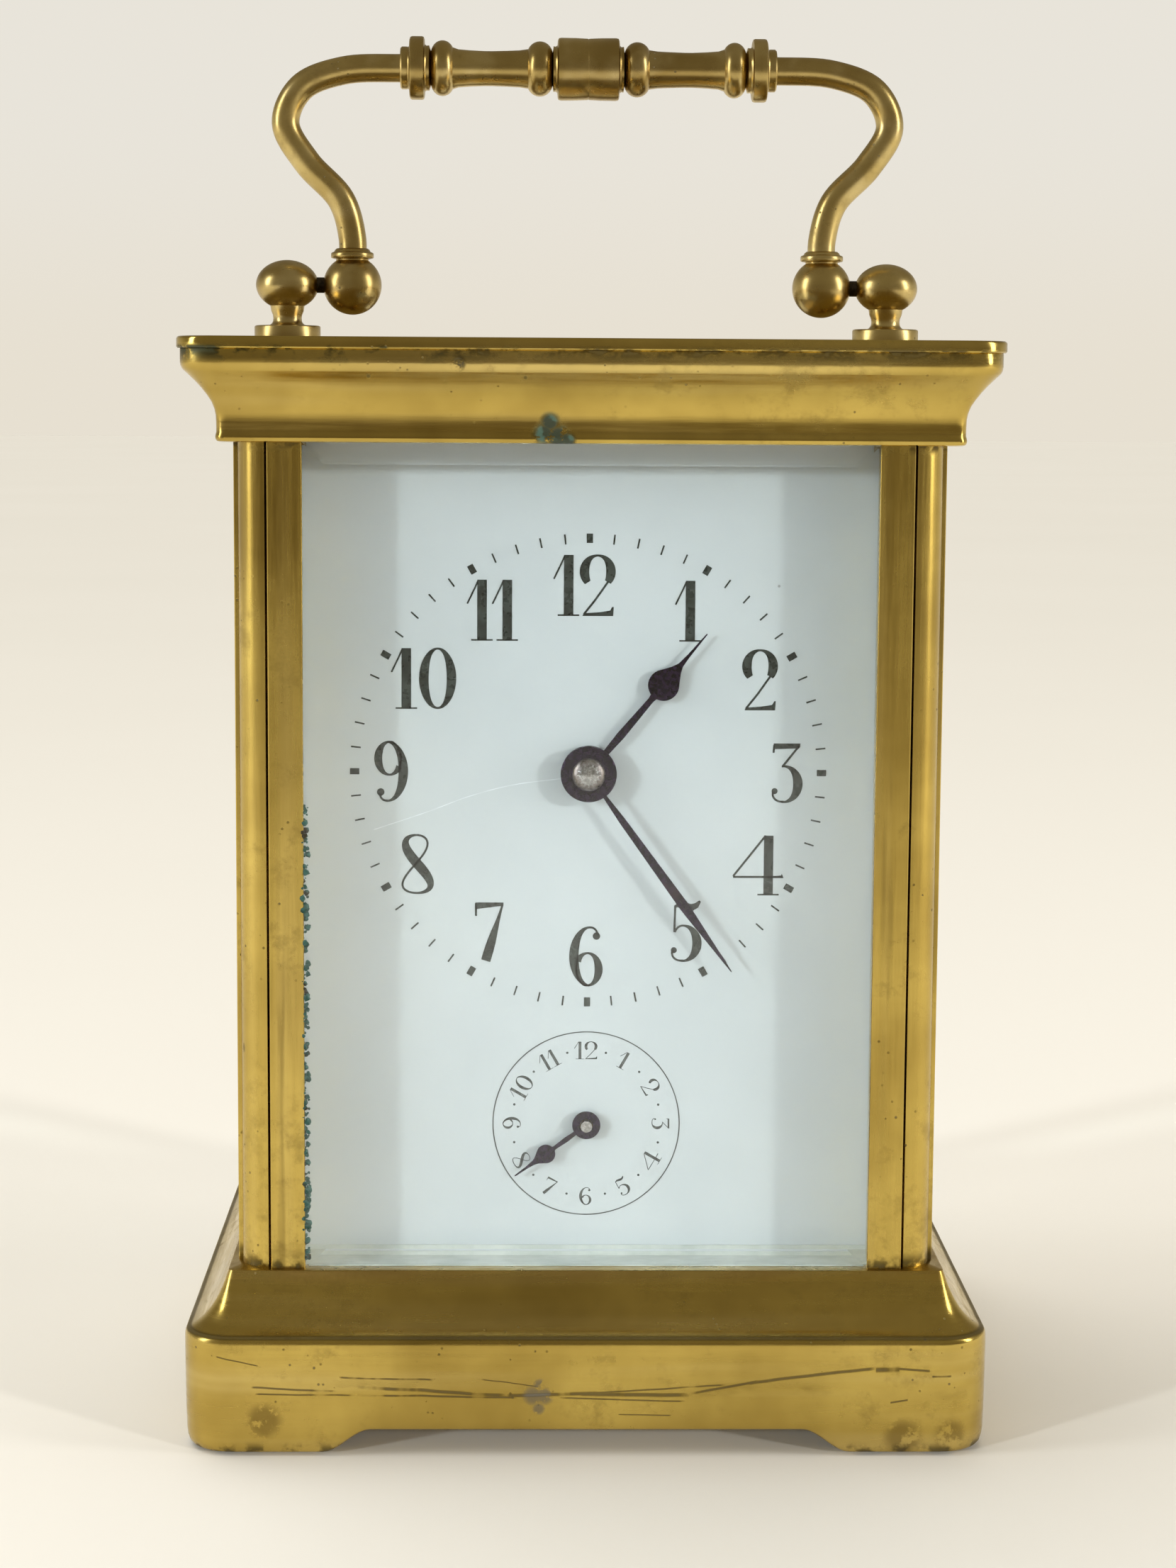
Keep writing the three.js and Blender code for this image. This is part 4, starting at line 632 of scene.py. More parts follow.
def make_cornice():
    low, high = (corner[2] for corner in box_mm("cornice"))
    share_x, share_y = shares([0, 10, 20, 30], PILLAR_X + 1), shares([0, 9, 18, 26], PILLAR_Y + 1)

    def loop(out, z, radius=None, half=None):
        radius = radius if radius is not None else max(1.2, 4.2 - (5.2 - out))
        half_x, half_y = half or (PILLAR_X + out, PILLAR_Y + out)
        return [(x, y, z) for x, y in plan(half_x, half_y, radius, share_x, share_y)]

    lip = [(0.0, 0), (1.05, 0), (1.30, 0.10), (1.42, 0.30), (1.44, 0.52), (1.40, 0.78), (1.34, 1.0)]
    cove = [(1.34, 1.3), (1.35, 2.0), (1.38, 2.7), (1.49, 3.3), (1.74, 4.0), (2.15, 4.7), (2.70, 5.4)]
    cove += [(3.34, 6.1), (3.98, 6.72), (4.38, 7.08), (4.65, 7.35), (4.79, 7.65)]
    fillet = [(4.85, 8.0), (4.85, high - low - 0.1), (4.80, high - low)]
    loops = [loop(out, low + z) for out, z in lip + cove + fillet]
    loops += [loop(0, high, 1.0, (25.3, 21.3)), loop(0, 111.8, 1.0, (25.3, 21.3))]
    loops += [loop(0, 111.8, 2.0, (23, 19)), loop(0, 111.0, 2.0, (23, 19))]
    loops += [loop(0, 111.0, 2.0, (29, 23)), loop(0, low, 2.0, (29, 23))]
    piece("cornice_moulding", *skin(loops, True), CORNICE_BRASS, "case", "case_brass", ["cornice"], 28)


def make_lid():
    half_x, half_y = LID_HIGH[:2]
    low, high = LID_LOW[2], LID_TOP
    share_x, share_y = shares([0, 10, 20, 30], half_x - 4.2), shares([0, 9, 18, 26], half_y - 4.2)

    def loop(inset, z, half=None, radius=4.2):
        x, y = half or (half_x - inset, half_y - inset)
        return [(px, py, z) for px, py in plan(x, y, radius - inset * 0.5, share_x, share_y)]

    outside = [(0.12, low), (0.0, low + 0.14), (0.0, high - 0.26), (0.07, high - 0.11), (0.24, high)]
    loops = [loop(inset, z) for inset, z in outside]
    window = [(22.45, 18.45, high), (22.1, 18.1, high - 0.25), (22.0, 18.0, high - 0.5), (22.0, 18.0, low)]
    loops += [loop(0, z, (x, y), 2.6) for x, y, z in window]
    piece("lid_plate", *skin(loops, True), CORNICE_BRASS, "case", "case_brass", ["top_plate"], 30)


def make_pillars():
    """Each corner pillar: a quarter-round between two flat strips, set back by a small step."""
    strip, step, small, size = 3.7, 0.45, 0.09, PILLAR_SIZE
    low, high = PILLAR_LOW[2], PILLAR_HIGH[2]
    levels = [low, low + 0.1] + [low + (high - low) * k / 12 for k in range(1, 12)] + [high - 0.1, high]
    flat = [(size, small), (size - small, 0), (strip + small, 0), (strip, small)]
    round_part = arc(strip, strip, -(strip - step), -(strip - step), 85, 5, 20)
    other = [(small, strip), (0, strip + small), (0, size - small), (small, size)]
    groove = [(strip, step + 0.5), (strip - 0.05, step + 0.5)]
    outline = flat + groove + round_part + [(b, a) for a, b in reversed(groove)] + other + [(size, size)]
    for y_name, sy in (("front", -1), ("rear", 1)):
        for x_name, sx in (("left", -1), ("right", 1)):
            plan_points = [(sx * (PILLAR_X - u), sy * (PILLAR_Y - v)) for u, v in outline]
            if sx * sy < 0:
                plan_points.reverse()
            points, faces = skin([[(x, y, z) for x, y in plan_points] for z in levels])
            faces += end_faces(points, len(plan_points))
            node = f"{y_name}_{x_name}_pillar"
            piece(f"{node}_fluted", points, faces, PILLAR_BRASS, "case", "case_brass", [node], 24)


make_base()
make_cornice()
make_lid()
make_pillars()


# ---------------------------------------------------------------- handle
def curve_through(points, per_span=10):
    """Places along a centripetal Catmull-Rom curve through points in one plane."""
    inside = [Vector(p) for p in points]
    ends = [2 * inside[0] - inside[1], *inside, 2 * inside[-1] - inside[-2]]
    found = []
    for p0, p1, p2, p3 in zip(ends, ends[1:], ends[2:], ends[3:]):
        t0, t1 = 0.0, (p1 - p0).length ** 0.5
        t2 = t1 + (p2 - p1).length ** 0.5
        t3 = t2 + (p3 - p2).length ** 0.5
        for i in range(per_span):
            t = t1 + (t2 - t1) * i / per_span
            a1 = p0.lerp(p1, (t - t0) / (t1 - t0))
            a2 = p1.lerp(p2, (t - t1) / (t2 - t1))
            a3 = p2.lerp(p3, (t - t2) / (t3 - t2))
            b1 = a1.lerp(a2, (t - t0) / (t2 - t0))
            b2 = a2.lerp(a3, (t - t1) / (t3 - t1))
            found.append(b1.lerp(b2, (t - t1) / (t2 - t1)))
    return found + [Vector(points[-1])]


def bent_rod(path, radius, segments=24):
    """A round rod along a path in the XZ plane, with flat ends."""
    loops = []
    for i, place in enumerate(path):
        along = (path[min(i + 1, len(path) - 1)] - path[max(i - 1, 0)]).normalized()
        across = Vector((along.z, 0, -along.x))
        loop = []
        for k in range(segments):
            a = 2 * math.pi * k / segments
            loop.append(tuple(place + radius * (math.cos(a) * across + math.sin(a) * Vector((0, 1, 0)))))
        loops.append(loop)
    points, faces = skin(loops)
    return points, faces + end_faces(points, segments)


BALL_X, BALL_RADIUS, ROD_RADIUS, POST_X = 26.0, 3.23, 1.53, 33.2
# Profiles of (radius, height), the collar's above the pivot and the post's above the lid.
COLLAR = ((1.78, 2.72), (1.80, 2.84), (2.30, 2.96), (2.36, 3.05), (2.36, 3.45))
COLLAR += ((2.28, 3.56), (2.02, 3.66), (1.92, 3.86), (1.72, 4.02), (0, 4.04))
POST = ((0, -0.3), (3.5, -0.3), (3.62, 0.06), (3.65, 0.2), (3.65, 1.62), (3.58, 1.74), (3.4, 1.8))
POST += ((2.05, 1.82), (1.85, 1.92), (1.68, 2.1), (1.60, 2.3), (1.57, 2.6), (1.62, 2.95), (1.8, 3.4))
PIN = ((0, 28.6), (0.72, 28.6), (0.86, 28.8), (0.86, 30.3), (0, 30.3))


def arm_parts():
    """The right arm of the handle: a bent rod on a ball with a collar."""
    z = PIVOT_Z
    bend = [(BALL_X, z + 2.4), (BALL_X, z + 5.2), (27.2, z + 9.3), (31, z + 13.4), (33.3, z + 17.6)]
    bend += [(31.6, z + 21.4), (27, GRIP_Z - 0.35), (GRIP_END - 1, GRIP_Z)]
    rod = bent_rod(curve_through([(x, 0, h) for x, h in bend]), ROD_RADIUS)
    ball = arc(0, z, BALL_RADIUS, BALL_RADIUS, -90, 56, 26)
    collar = [(radius, z + up) for radius, up in COLLAR]
    foot = lathe([(0, ball[0][1])] + ball[1:] + collar, 48, "Z", (BALL_X, 0, 0))
    return join_parts([rod, foot])


def make_handle():
    for side, sign in (("left", -1), ("right", 1)):
        points, faces = arm_parts()
        points = [(sign * x, y, z) for x, y, z in points]
        arm = [f"handle_arm_{side}"]
        piece(f"bail_arm_{side}", points, faces, HANDLE_BRASS, "handle", "handle_brass", arm, 40)
        ball = arc(0, PIVOT_Z, 3.46, 2.73, -57, 90, 28)
        profile = [(radius, LID_TOP + up) for radius, up in POST] + ball[:-1] + [(0, ball[-1][1])]
        points, faces = lathe(profile, 56, "Z", (sign * POST_X, 0, 0))
        post = [f"handle_post_{side}"]
        piece(f"bail_post_{side}", points, faces, HANDLE_BRASS, "case", "handle_brass", post, 40)
        points, faces = lathe([(radius, sign * x) for radius, x in PIN], 24, "X", (0, 0, PIVOT_Z))
        piece(f"bail_pin_{side}", points, faces, DARK_PIN, "case", "steel", smooth_below=40)


def make_grip():
    """The turned grip, from its middle outwards: drum, bead, waist, bead, disc and end ring."""
    half = [(3.25, 0), (3.30, 0.1), (3.36, 1.4), (3.38, 3.0), (3.32, 3.28), (3.12, 3.38)]
    half += [(2.55, 3.44), (2.42, 3.62), (2.46, 3.86)]
    half += arc(1.55, 5.35, 1.42, 1.42, -80, 66, 14)
    half += [(1.99, 7.6), (1.93, 9.0), (1.88, 10.6), (1.88, 11.4), (1.95, 13.0), (2.05, 14.3)]
    half += arc(1.6, 16.05, 1.40, 1.28, -62, 80, 14)
    half += [(2.44, 17.5), (2.42, 17.8), (2.55, 17.98), (3.12, 18.02), (3.34, 18.1), (3.42, 18.28)]
    half += [(3.42, 19.38), (3.34, 19.56), (3.1, 19.66), (2.34, 19.72), (2.27, 19.84), (2.30, 20.0)]
    half += [(2.30, GRIP_END - 0.16), (2.16, GRIP_END), (1.3, GRIP_END), (0, GRIP_END)]
    whole = [(r, -x) for r, x in reversed(half[1:])] + half
    points, faces = lathe(whole, 64, "X", (0, 0, GRIP_Z))
    piece("turned_grip", points, faces, HANDLE_BRASS, "handle", "handle_brass", ["handle_grip"], 32)


make_handle()
make_grip()


# ---------------------------------------------------------------- flat work on the dial
def slab_parts(outline, y_front, y_back):
    """A flat plate with that outline in (x, z), anticlockwise as seen from the front."""
    count = len(outline)
    points = [(x, y_front, z) for x, z in outline] + [(x, y_back, z) for x, z in outline]
    faces = [tuple(range(count)), tuple(reversed(range(count, 2 * count)))]
    faces += [(i, i + count, (i + 1) % count + count, (i + 1) % count) for i in range(count)]
    return points, faces


def ribbon(path, widths, y_front, y_back, closed=False):
    """A flat stroke along a path in (x, z); widths are one for each place."""
    count = len(path)
    left, right = [], []
    for i, (x, z) in enumerate(path):
        before = path[i - 1] if closed or i else path[0]
        after = path[(i + 1) % count] if closed or i < count - 1 else path[-1]
        dx, dz = after[0] - before[0], after[1] - before[1]
        length = math.hypot(dx, dz) or 1.0
        nx, nz = -dz / length * widths[i] / 2, dx / length * widths[i] / 2
        left.append((x + nx, z + nz))
        right.append((x - nx, z - nz))
    points = [(x, y, z) for y in (y_front, y_back) for x, z in left + right]
    faces, back = [], 2 * count
    for i in range(count if closed else count - 1):
        j = (i + 1) % count
        a, b, c, d = i, j, count + j, count + i
        faces += [(a, b, c, d), (back + d, back + c, back + b, back + a)]
        faces += [(a, back + a, back + b, b), (d, c, back + c, back + d)]
    if not closed:
        last = count - 1
        faces += [(0, count, back + count, back), (last, back + last, back + count + last, count + last)]
    return points, faces


def disc(x, z, radius, y_front, y_back, segments):
    """A flat round plate."""
    turns = [2 * math.pi * i / segments for i in range(segments)]
    ring = [(x + radius * math.cos(t), z + radius * math.sin(t)) for t in turns]
    return slab_parts(ring, y_front, y_back)


# Numerals with strong contrast between thick and thin strokes, drawn one unit high from a baseline.
# A glyph is its width and its strokes: (kind, places, sizes).
HAIR, THICK = 0.034, 0.155


def stroke(path, swells):
    """A stroke from a hairline, where a place's swell is 0, to its full width, where it is THICK - HAIR."""
    return ("stroke", path, [HAIR + swell for swell in swells])


def even(path, width):
    """A stroke of one width."""
    return ("stroke", path, [width] * len(path))


def hair(*path):
    """A hairline."""
    return even(list(path), HAIR)


def bowl(cx, cy, rx, ry, from_deg, to_deg, thick=THICK, steps=26):
    """An elliptical stroke, thick where it runs upright and thin where it runs level."""
    path = arc(cx, cy, rx, ry, from_deg, to_deg, steps)
    angles = [math.radians(from_deg + (to_deg - from_deg) * i / steps) for i in range(steps + 1)]
    return stroke(path, [(thick - HAIR) * abs(math.cos(a)) ** 1.7 for a in angles])


def drop(x, y, radius):
    """A round end of a stroke."""
    return ("drop", (x, y), radius)


def swelling(path, thick):
    """A stroke that is thick in its middle."""
    last = len(path) - 1
    return stroke(path, [(thick - HAIR) * math.sin(math.pi * i / last) ** 0.8 for i in range(len(path))])


def stem_of_seven(top, bottom, steps=12):
    """A stroke that grows from a hairline to its full width on the way down."""
    shares_down = [i / steps for i in range(steps + 1)]
    path = [(top[0] + (bottom[0] - top[0]) * t, top[1] + (bottom[1] - top[1]) * t) for t in shares_down]
    return stroke(path, [(THICK - HAIR) * smooth(1.2 * t) for t in shares_down])


def loops_of_eight(steps=72):
    """Both loops of an 8 in one stroke."""
    turns = [2 * math.pi * i / steps for i in range(steps + 1)]
    path = []
    for t in turns:
        half_width = 0.205 - 0.035 * math.cos(t)
        height = 0.5 + 0.48 * math.cos(t) + 0.02 * math.sin(t) ** 2
        path.append((0.27 + half_width * math.sin(2 * t), height))
    return stroke(path, [(THICK * 1.05 - HAIR) * max(0.0, -math.sin(t)) ** 1.5 for t in turns])


def shape(*corners):
    """A filled piece with that outline, anticlockwise."""
    return ("shape", list(corners), 0)


def foot(x):
    """The level hairline under an upright."""
    return even([(x - 0.175, 0.012), (x + 0.175, 0.012)], HAIR * 0.75)


def upright(x):
    """The thick upright of a 1 or a 4."""
    return even([(x, 0.99), (x, 0.01)], THICK)


TAIL = (drop(0.075, 0.20, 0.05), hair(*arc(0.19, 0.15, 0.145, 0.125, 160, 285, 12)))  # of a 3 or a 5
FLAG = even([(0.125, 0.975), (0.075, 0.86), (-0.05, 0.60)], HAIR * 0.8)
FOOT_OF_TWO = ((0.005, 0.0), (0.505, 0.0), (0.515, 0.15), (0.49, 0.15), (0.455, 0.09), (0.28, 0.062))
FOOT_OF_TWO += ((0.03, 0.045),)
WAVE_OF_FIVE = ((0.085, 0.93), (0.16, 0.955), (0.26, 0.93), (0.36, 0.91), (0.44, 0.945), (0.50, 1.02))
GLYPHS = {
    "0": (0.58, [bowl(0.29, 0.5, 0.225, 0.485, 0, 360, steps=56)]),
    "1": (0.34, [upright(0.19), FLAG, foot(0.19)]),
    "2": (0.54, [
        bowl(0.25, 0.72, 0.215, 0.262, 222, -40, steps=34),
        hair((0.418, 0.555), (0.22, 0.27), (0.03, 0.03)),
        shape(*FOOT_OF_TWO),
    ]),
    "3": (0.53, [
        shape((0.05, 0.89), (0.47, 0.905), (0.49, 0.985), (0.05, 0.985)),
        hair((0.06, 0.96), (0.05, 0.83)),
        hair((0.475, 0.955), (0.20, 0.605)),
        bowl(0.22, 0.315, 0.235, 0.295, 98, -98),
        *TAIL,
    ]),
    "4": (0.84, [
        upright(0.58),
        hair((0.53, 0.99), (0.0, 0.315)),
        hair((0.0, 0.305), (0.82, 0.305)),
        shape((0.65, 0.29), (0.83, 0.29), (0.80, 0.36), (0.79, 0.33), (0.65, 0.318)),
        foot(0.58),
    ]),
    "5": (0.54, [
        swelling(WAVE_OF_FIVE, 0.125),
        hair((0.092, 0.95), (0.08, 0.50)),
        hair(*arc(0.22, 0.44, 0.14, 0.17, 160, 92, 8)),
        bowl(0.22, 0.315, 0.235, 0.295, 96, -98),
        *TAIL,
    ]),
    "6": (0.56, [
        bowl(0.32, 0.5, 0.26, 0.485, 84, 270),
        drop(0.43, 0.84, 0.062),
        hair(*arc(0.335, 0.86, 0.11, 0.122, 0, 100, 10)),
        bowl(0.285, 0.285, 0.185, 0.27, -110, 150, THICK * 0.85),
        hair(*arc(0.285, 0.285, 0.185, 0.27, 150, 262, 12)),
    ]),
    "7": (0.50, [
        shape((0.03, 0.87), (0.20, 0.895), (0.49, 0.93), (0.49, 0.985), (0.03, 0.985)),
        hair((0.036, 0.97), (0.04, 0.76)),
        stem_of_seven((0.475, 0.95), (0.20, 0.015)),
    ]),
    "8": (0.54, [loops_of_eight()]),
}


def turned_over(width, strokes):
    """A glyph turned by half a turn: a 9 from a 6."""
    flipped = []
    for kind, path, size in strokes:
        if kind == "drop":
            flipped.append((kind, (width - path[0], 1 - path[1]), size))
        else:
            flipped.append((kind, [(width - x, 1 - y) for x, y in path], size))
    return width, flipped


GLYPHS["9"] = turned_over(*GLYPHS["6"])
LETTER_GAP = 0.07
INK_DEPTH = (DIAL_FACE - 0.025, DIAL_FACE + 0.02)  # y of the ink's front and back
MINUTE_TRACK, HOUR_RING = 24.6, (20.9, 19.7)
HOUR_HEIGHT, HOUR_SHIFT = 6.45, {10: 0.9, 11: 0.4, 12: -0.35}  # some numbers stand off their hour
LONG_TICK, SHORT_TICK = (0.49, 0.66), (0.52, 0.17)  # half length, width
ALARM_RING, ALARM_LINE, ALARM_NUMERALS = 9.95, 0.115, 7.95
ALARM_HEIGHT, ALARM_WIDEN, ALARM_DOT = 1.92, 1.3, 0.13
HAIRLINE = ((-2.9, -0.7), (-8.0, -1.4), (-12.5, -2.6), (-17.0, -4.3), (-22.6, -6.2))


def numeral_parts(text, centre, height, turn=0, widen=1.0):
    """A number in ink, centred on (x, z), turned clockwise by turn degrees."""
    total = sum(GLYPHS[c][0] for c in text) + LETTER_GAP * (len(text) - 1)
    c, s = math.cos(math.radians(turn)), math.sin(math.radians(turn))
    parts, start = [], -total / 2
    for letter in text:
        width, strokes = GLYPHS[letter]

        def place(p):
            u, v = (start + p[0]) * height * widen, (p[1] - 0.5) * height
            return centre[0] + u * c + v * s, centre[1] - u * s + v * c

        for kind, path, size in strokes:
            if kind == "drop":
                parts.append(disc(*place(path), size * height, *INK_DEPTH, 16))
            elif kind == "shape":
                parts.append(slab_parts([place(p) for p in path], *INK_DEPTH))
            else:
                parts.append(ribbon([place(p) for p in path], [w * height for w in size], *INK_DEPTH))
        start += width + LETTER_GAP
    return parts


def clock_place(centre, radius_x, radius_z, clockwise):
    """A place on an ellipse round a dial's centre, at an angle clockwise from 12."""
    a = math.radians(clockwise)
    return centre[0] + radius_x * math.sin(a), centre[1] + radius_z * math.cos(a)


def make_dial_figures():
    numerals = []
    for hour in range(1, 13):
        x, z = clock_place(DIAL_CENTRE, *HOUR_RING, hour * 30)
        numerals += numeral_parts(str(hour), (x + HOUR_SHIFT.get(hour, 0), z), HOUR_HEIGHT)
    piece("dial_numerals", *join_parts(numerals), INK, "case", "enamel")

    track = []
    for minute in range(60):
        half, width = SHORT_TICK if minute % 5 else LONG_TICK
        radii = (MINUTE_TRACK - half, MINUTE_TRACK + half)
        ends = [clock_place(DIAL_CENTRE, r, r, minute * 6) for r in radii]
        track.append(ribbon(ends, [width, width], *INK_DEPTH))
    piece("dial_minute_track", *join_parts(track), INK, "case", "enamel")

    ring = [clock_place(ALARM_CENTRE, ALARM_RING, ALARM_RING, 3 * i) for i in range(120)]
    parts = [ribbon(ring, [ALARM_LINE] * len(ring), *INK_DEPTH, closed=True)]
    for hour in range(1, 13):
        turn = hour * 30 + (180 if 4 <= hour <= 8 else 0)
        place = clock_place(ALARM_CENTRE, ALARM_NUMERALS, ALARM_NUMERALS, hour * 30)
        parts += numeral_parts(str(hour), place, ALARM_HEIGHT, turn, ALARM_WIDEN)
        place = clock_place(ALARM_CENTRE, ALARM_NUMERALS, ALARM_NUMERALS, hour * 30 + 15)
        parts.append(disc(*place, ALARM_DOT, *INK_DEPTH, 12))
    piece("alarm_dial_figures", *join_parts(parts), FINE_INK, "case", "enamel")

    bend = curve_through([(x, 0, z) for x, z in HAIRLINE], 6)
    crack = [(DIAL_CENTRE[0] + p.x, DIAL_CENTRE[1] + p.z) for p in bend]
    widths = [0.05 + 0.02 * math.sin(1.7 * i) for i in range(len(crack))]
    parts = ribbon(crack, widths, DIAL_FACE - 0.008, INK_DEPTH[1])
    piece("dial_hairline", *parts, CRACK_GREY, "case", "enamel")


# ---------------------------------------------------------------- hands
HOUR_AT, MINUTE_AT, ALARM_AT = 40, 144, 234  # degrees clockwise from 12
HOUR_Y, MINUTE_Y = box_mm("hour_hand")[0][1], box_mm("minute_hand")[0][1]
BLADE_DEPTH, BOSS_DEPTH = (0.05, 0.33), 0.38
MINUTE_BLADE = ((0.2, 2.75), (0.36, 6), (0.52, 17.2), (0.46, 18.6), (0.055, 25.9))


def ring_parts(inner, outer, y_front, y_back, centre):
    """A flat boss with a hole, rounded at its rim."""
    profile = [(inner, y_back), (outer - 0.05, y_back), (outer, y_back - 0.06), (outer, y_front + 0.1)]
    profile += [(outer - 0.1, y_front), (inner + 0.3, y_front), (inner, y_front + 0.03), (inner, y_back)]
    return lathe(profile, 56, "Y", (centre[0], 0, centre[1]))


def mirrored(side):
    """A hand's outline from its right-hand side, listed from the hub to the tip."""
    return [*side, *((-x, z) for x, z in reversed(side))]


def hand_piece(node, outline, hub, hole, y_front, body, clockwise, centre):
    """A blued hand: a blade with that outline, and a boss with a hole."""
    c, s = math.cos(math.radians(clockwise)), math.sin(math.radians(clockwise))
    turned = [(centre[0] + x * c + z * s, centre[1] - x * s + z * c) for x, z in outline]
    blade = slab_parts(turned, y_front + BLADE_DEPTH[0], y_front + BLADE_DEPTH[1])
    boss = ring_parts(hole, hub, y_front, y_front + BOSS_DEPTH, centre)
    points, faces = join_parts([blade, boss])
    soften(piece(f"{node}_blued", points, faces, BLUED_STEEL, body, "blued_steel", [node], 30), 0.05, 40)


def pear(hub, stem, bulb_at, bulb, neck, tip):
    """The outline of a pear hand: a stem that swells into a bulb and runs out to a point."""
    start = math.sqrt(max(0.0, (hub - 0.15) ** 2 - stem**2))
    side = [(stem * 0.75, start), (stem, hub * 1.8), (stem * 0.72, bulb_at - bulb * 1.25)]
    side += arc(0, bulb_at, bulb, bulb, -76, 34, 20)
    side += [(bulb * 0.60, bulb_at + bulb * 0.90), (bulb * 0.36, bulb_at + bulb * 1.27)]
    side += [(neck * 1.4, bulb_at + bulb * 1.70), (neck * 0.8, bulb_at + bulb * 2.5), (0.06, tip)]
    return mirrored(side)


def make_hands():
    hour = pear(2.9, 0.43, 12.15, 1.64, 0.2, 19.2)
    hand_piece("hour_hand", hour, 2.9, 1.98, HOUR_Y, "hour_pipe", HOUR_AT, DIAL_CENTRE)
    minute = mirrored(MINUTE_BLADE)
    hand_piece("minute_hand", minute, 2.95, 1.36, MINUTE_Y, "minute_arbor", MINUTE_AT, DIAL_CENTRE)
    alarm = pear(1.5, 0.27, 5.3, 1.0, 0.16, 9.4)
    hand_piece("alarm_hand", alarm, 1.5, 0.7, HOUR_Y, "alarm_setting", ALARM_AT, ALARM_CENTRE)
    back = MINUTE_Y - 0.05
    profile = [(0, back + 0.35), (1.3, back + 0.35), (1.62, back + 0.02), (1.74, back - 0.06)]
    profile += arc(0, back - 0.08, 1.75, 0.98, 0, -90, 16)[:-1] + [(0, back - 1.06)]
    points, faces = lathe(profile, 48, "Y", (DIAL_CENTRE[0], 0, DIAL_CENTRE[1]))
    piece("hand_setting_dome", points, faces, DOME_STEEL, "minute_arbor", "steel", smooth_below=50)


make_dial_figures()
make_hands()


# ---------------------------------------------------------------- knob, crust, glasses and screws
BEVEL_IN, BEVEL_DEEP = 3.0, 0.5  # how far a glass's bevel reaches in, and how deep it is at the edge


def make_knob():
    x, _, z = middle_mm("rear_door_knob")
    y = box_mm("rear_door_knob")[0][1]
    foot = [(0, 0), (1.7, 0), (1.72, 0.1), (1.7, 0.4), (1.45, 0.55), (1.0, 0.75), (0.95, 1.0)]
    ball = arc(0, y + 3.1, 2.0, 1.9, -52, 90, 18)
    profile = [(radius, y + along) for radius, along in foot] + ball[:-1] + [(0, ball[-1][1])]
    points, faces = lathe(profile, 48, "Y", (x, 0, z))
    node = ["rear_door_knob"]
    piece("door_knob_turned", points, faces, BASE_BRASS, "rear_door", "case_brass", node, 40)


CRUMBS, CRUST_HEIGHT = 300, 48


def crumb(draws):
    """A small flattened ball of verdigris, out of true, beside the left front pillar's inner edge."""
    z = PILLAR_LOW[2] + 1 + CRUST_HEIGHT * draws.random() ** 1.25
    size = 0.08 + 0.30 * draws.random() ** 1.7
    x, y = -PILLAR_X + PILLAR_SIZE + draws.uniform(-0.20, 0.45), -PILLAR_Y + draws.uniform(0.0, 0.5)
    half = size * 0.55
    profile = [(size * math.sin(a), y - half * math.cos(a)) for a in (math.pi * i / 4 for i in range(5))]
    profile[0], profile[-1] = (0, y - half), (0, y + half)
    points, faces = lathe(profile, 7, "Y", (x, 0, z))
    shaken = []
    for px, py, pz in points:
        shaken.append((px + draws.uniform(-0.2, 0.2) * size, py, pz + draws.uniform(-0.35, 0.35) * size))
    return shaken, faces


def make_crust():
    draws = random.Random(5)
    crumbs = [crumb(draws) for _ in range(CRUMBS)]
    piece("pillar_verdigris", *join_parts(crumbs), CRUST, "case", "case_brass", smooth_below=60)


def make_pane(node, body):
    """A plate glass with a shallow bevel round its outer face, mitred at the corners."""
    low, high = box_mm(node)
    through = min(range(3), key=lambda k: high[k] - low[k])
    a, b = [k for k in range(3) if k != through]
    outwards = 1 if low[through] + high[through] > 0 else -1
    outer = high[through] if outwards > 0 else low[through]
    thick = high[through] - low[through]
    loops = []
    for inset, depth in ((0.1, thick), (0, thick - 0.1), (0, BEVEL_DEEP), (BEVEL_IN, 0)):
        loop = []
        for sa, sb in ((0, 0), (1, 0), (1, 1), (0, 1)):
            place = [0.0, 0.0, 0.0]
            place[through] = outer - outwards * depth
            place[a] = high[a] - inset if sa else low[a] + inset
            place[b] = high[b] - inset if sb else low[b] + inset
            loop.append(tuple(place))
        loops.append(loop)
    points, faces = skin(loops)
    faces += end_faces(points, 4)
    piece(f"{node}_bevelled", points, faces, GLASS, body, "glass", [node], 2)


SCREW_RADIUS, SCREW_RISE, SCREW_SLOT = 1.9, 0.55, 0.13  # the slot's half width is a share of the radius


def screw_parts(x, z, radius, y0, y1, turn):
    """A slotted screw head on a plate that faces +Y: a disc with two half-round lands."""
    parts = [disc(x, z, radius, y0, y0 + (y1 - y0) * 0.45, 28)]
    start = math.asin(SCREW_SLOT)
    for flip in (0, math.pi):
        ring = []
        for i in range(15):
            a = start + (math.pi - 2 * start) * i / 14
            u, v = 0.985 * radius * math.cos(a), 0.985 * radius * math.sin(a)
            c, s = math.cos(flip + turn), math.sin(flip + turn)
            ring.append((x + u * c - v * s, z + u * s + v * c))
        parts.append(slab_parts(ring, y0, y1))
    return join_parts(parts)


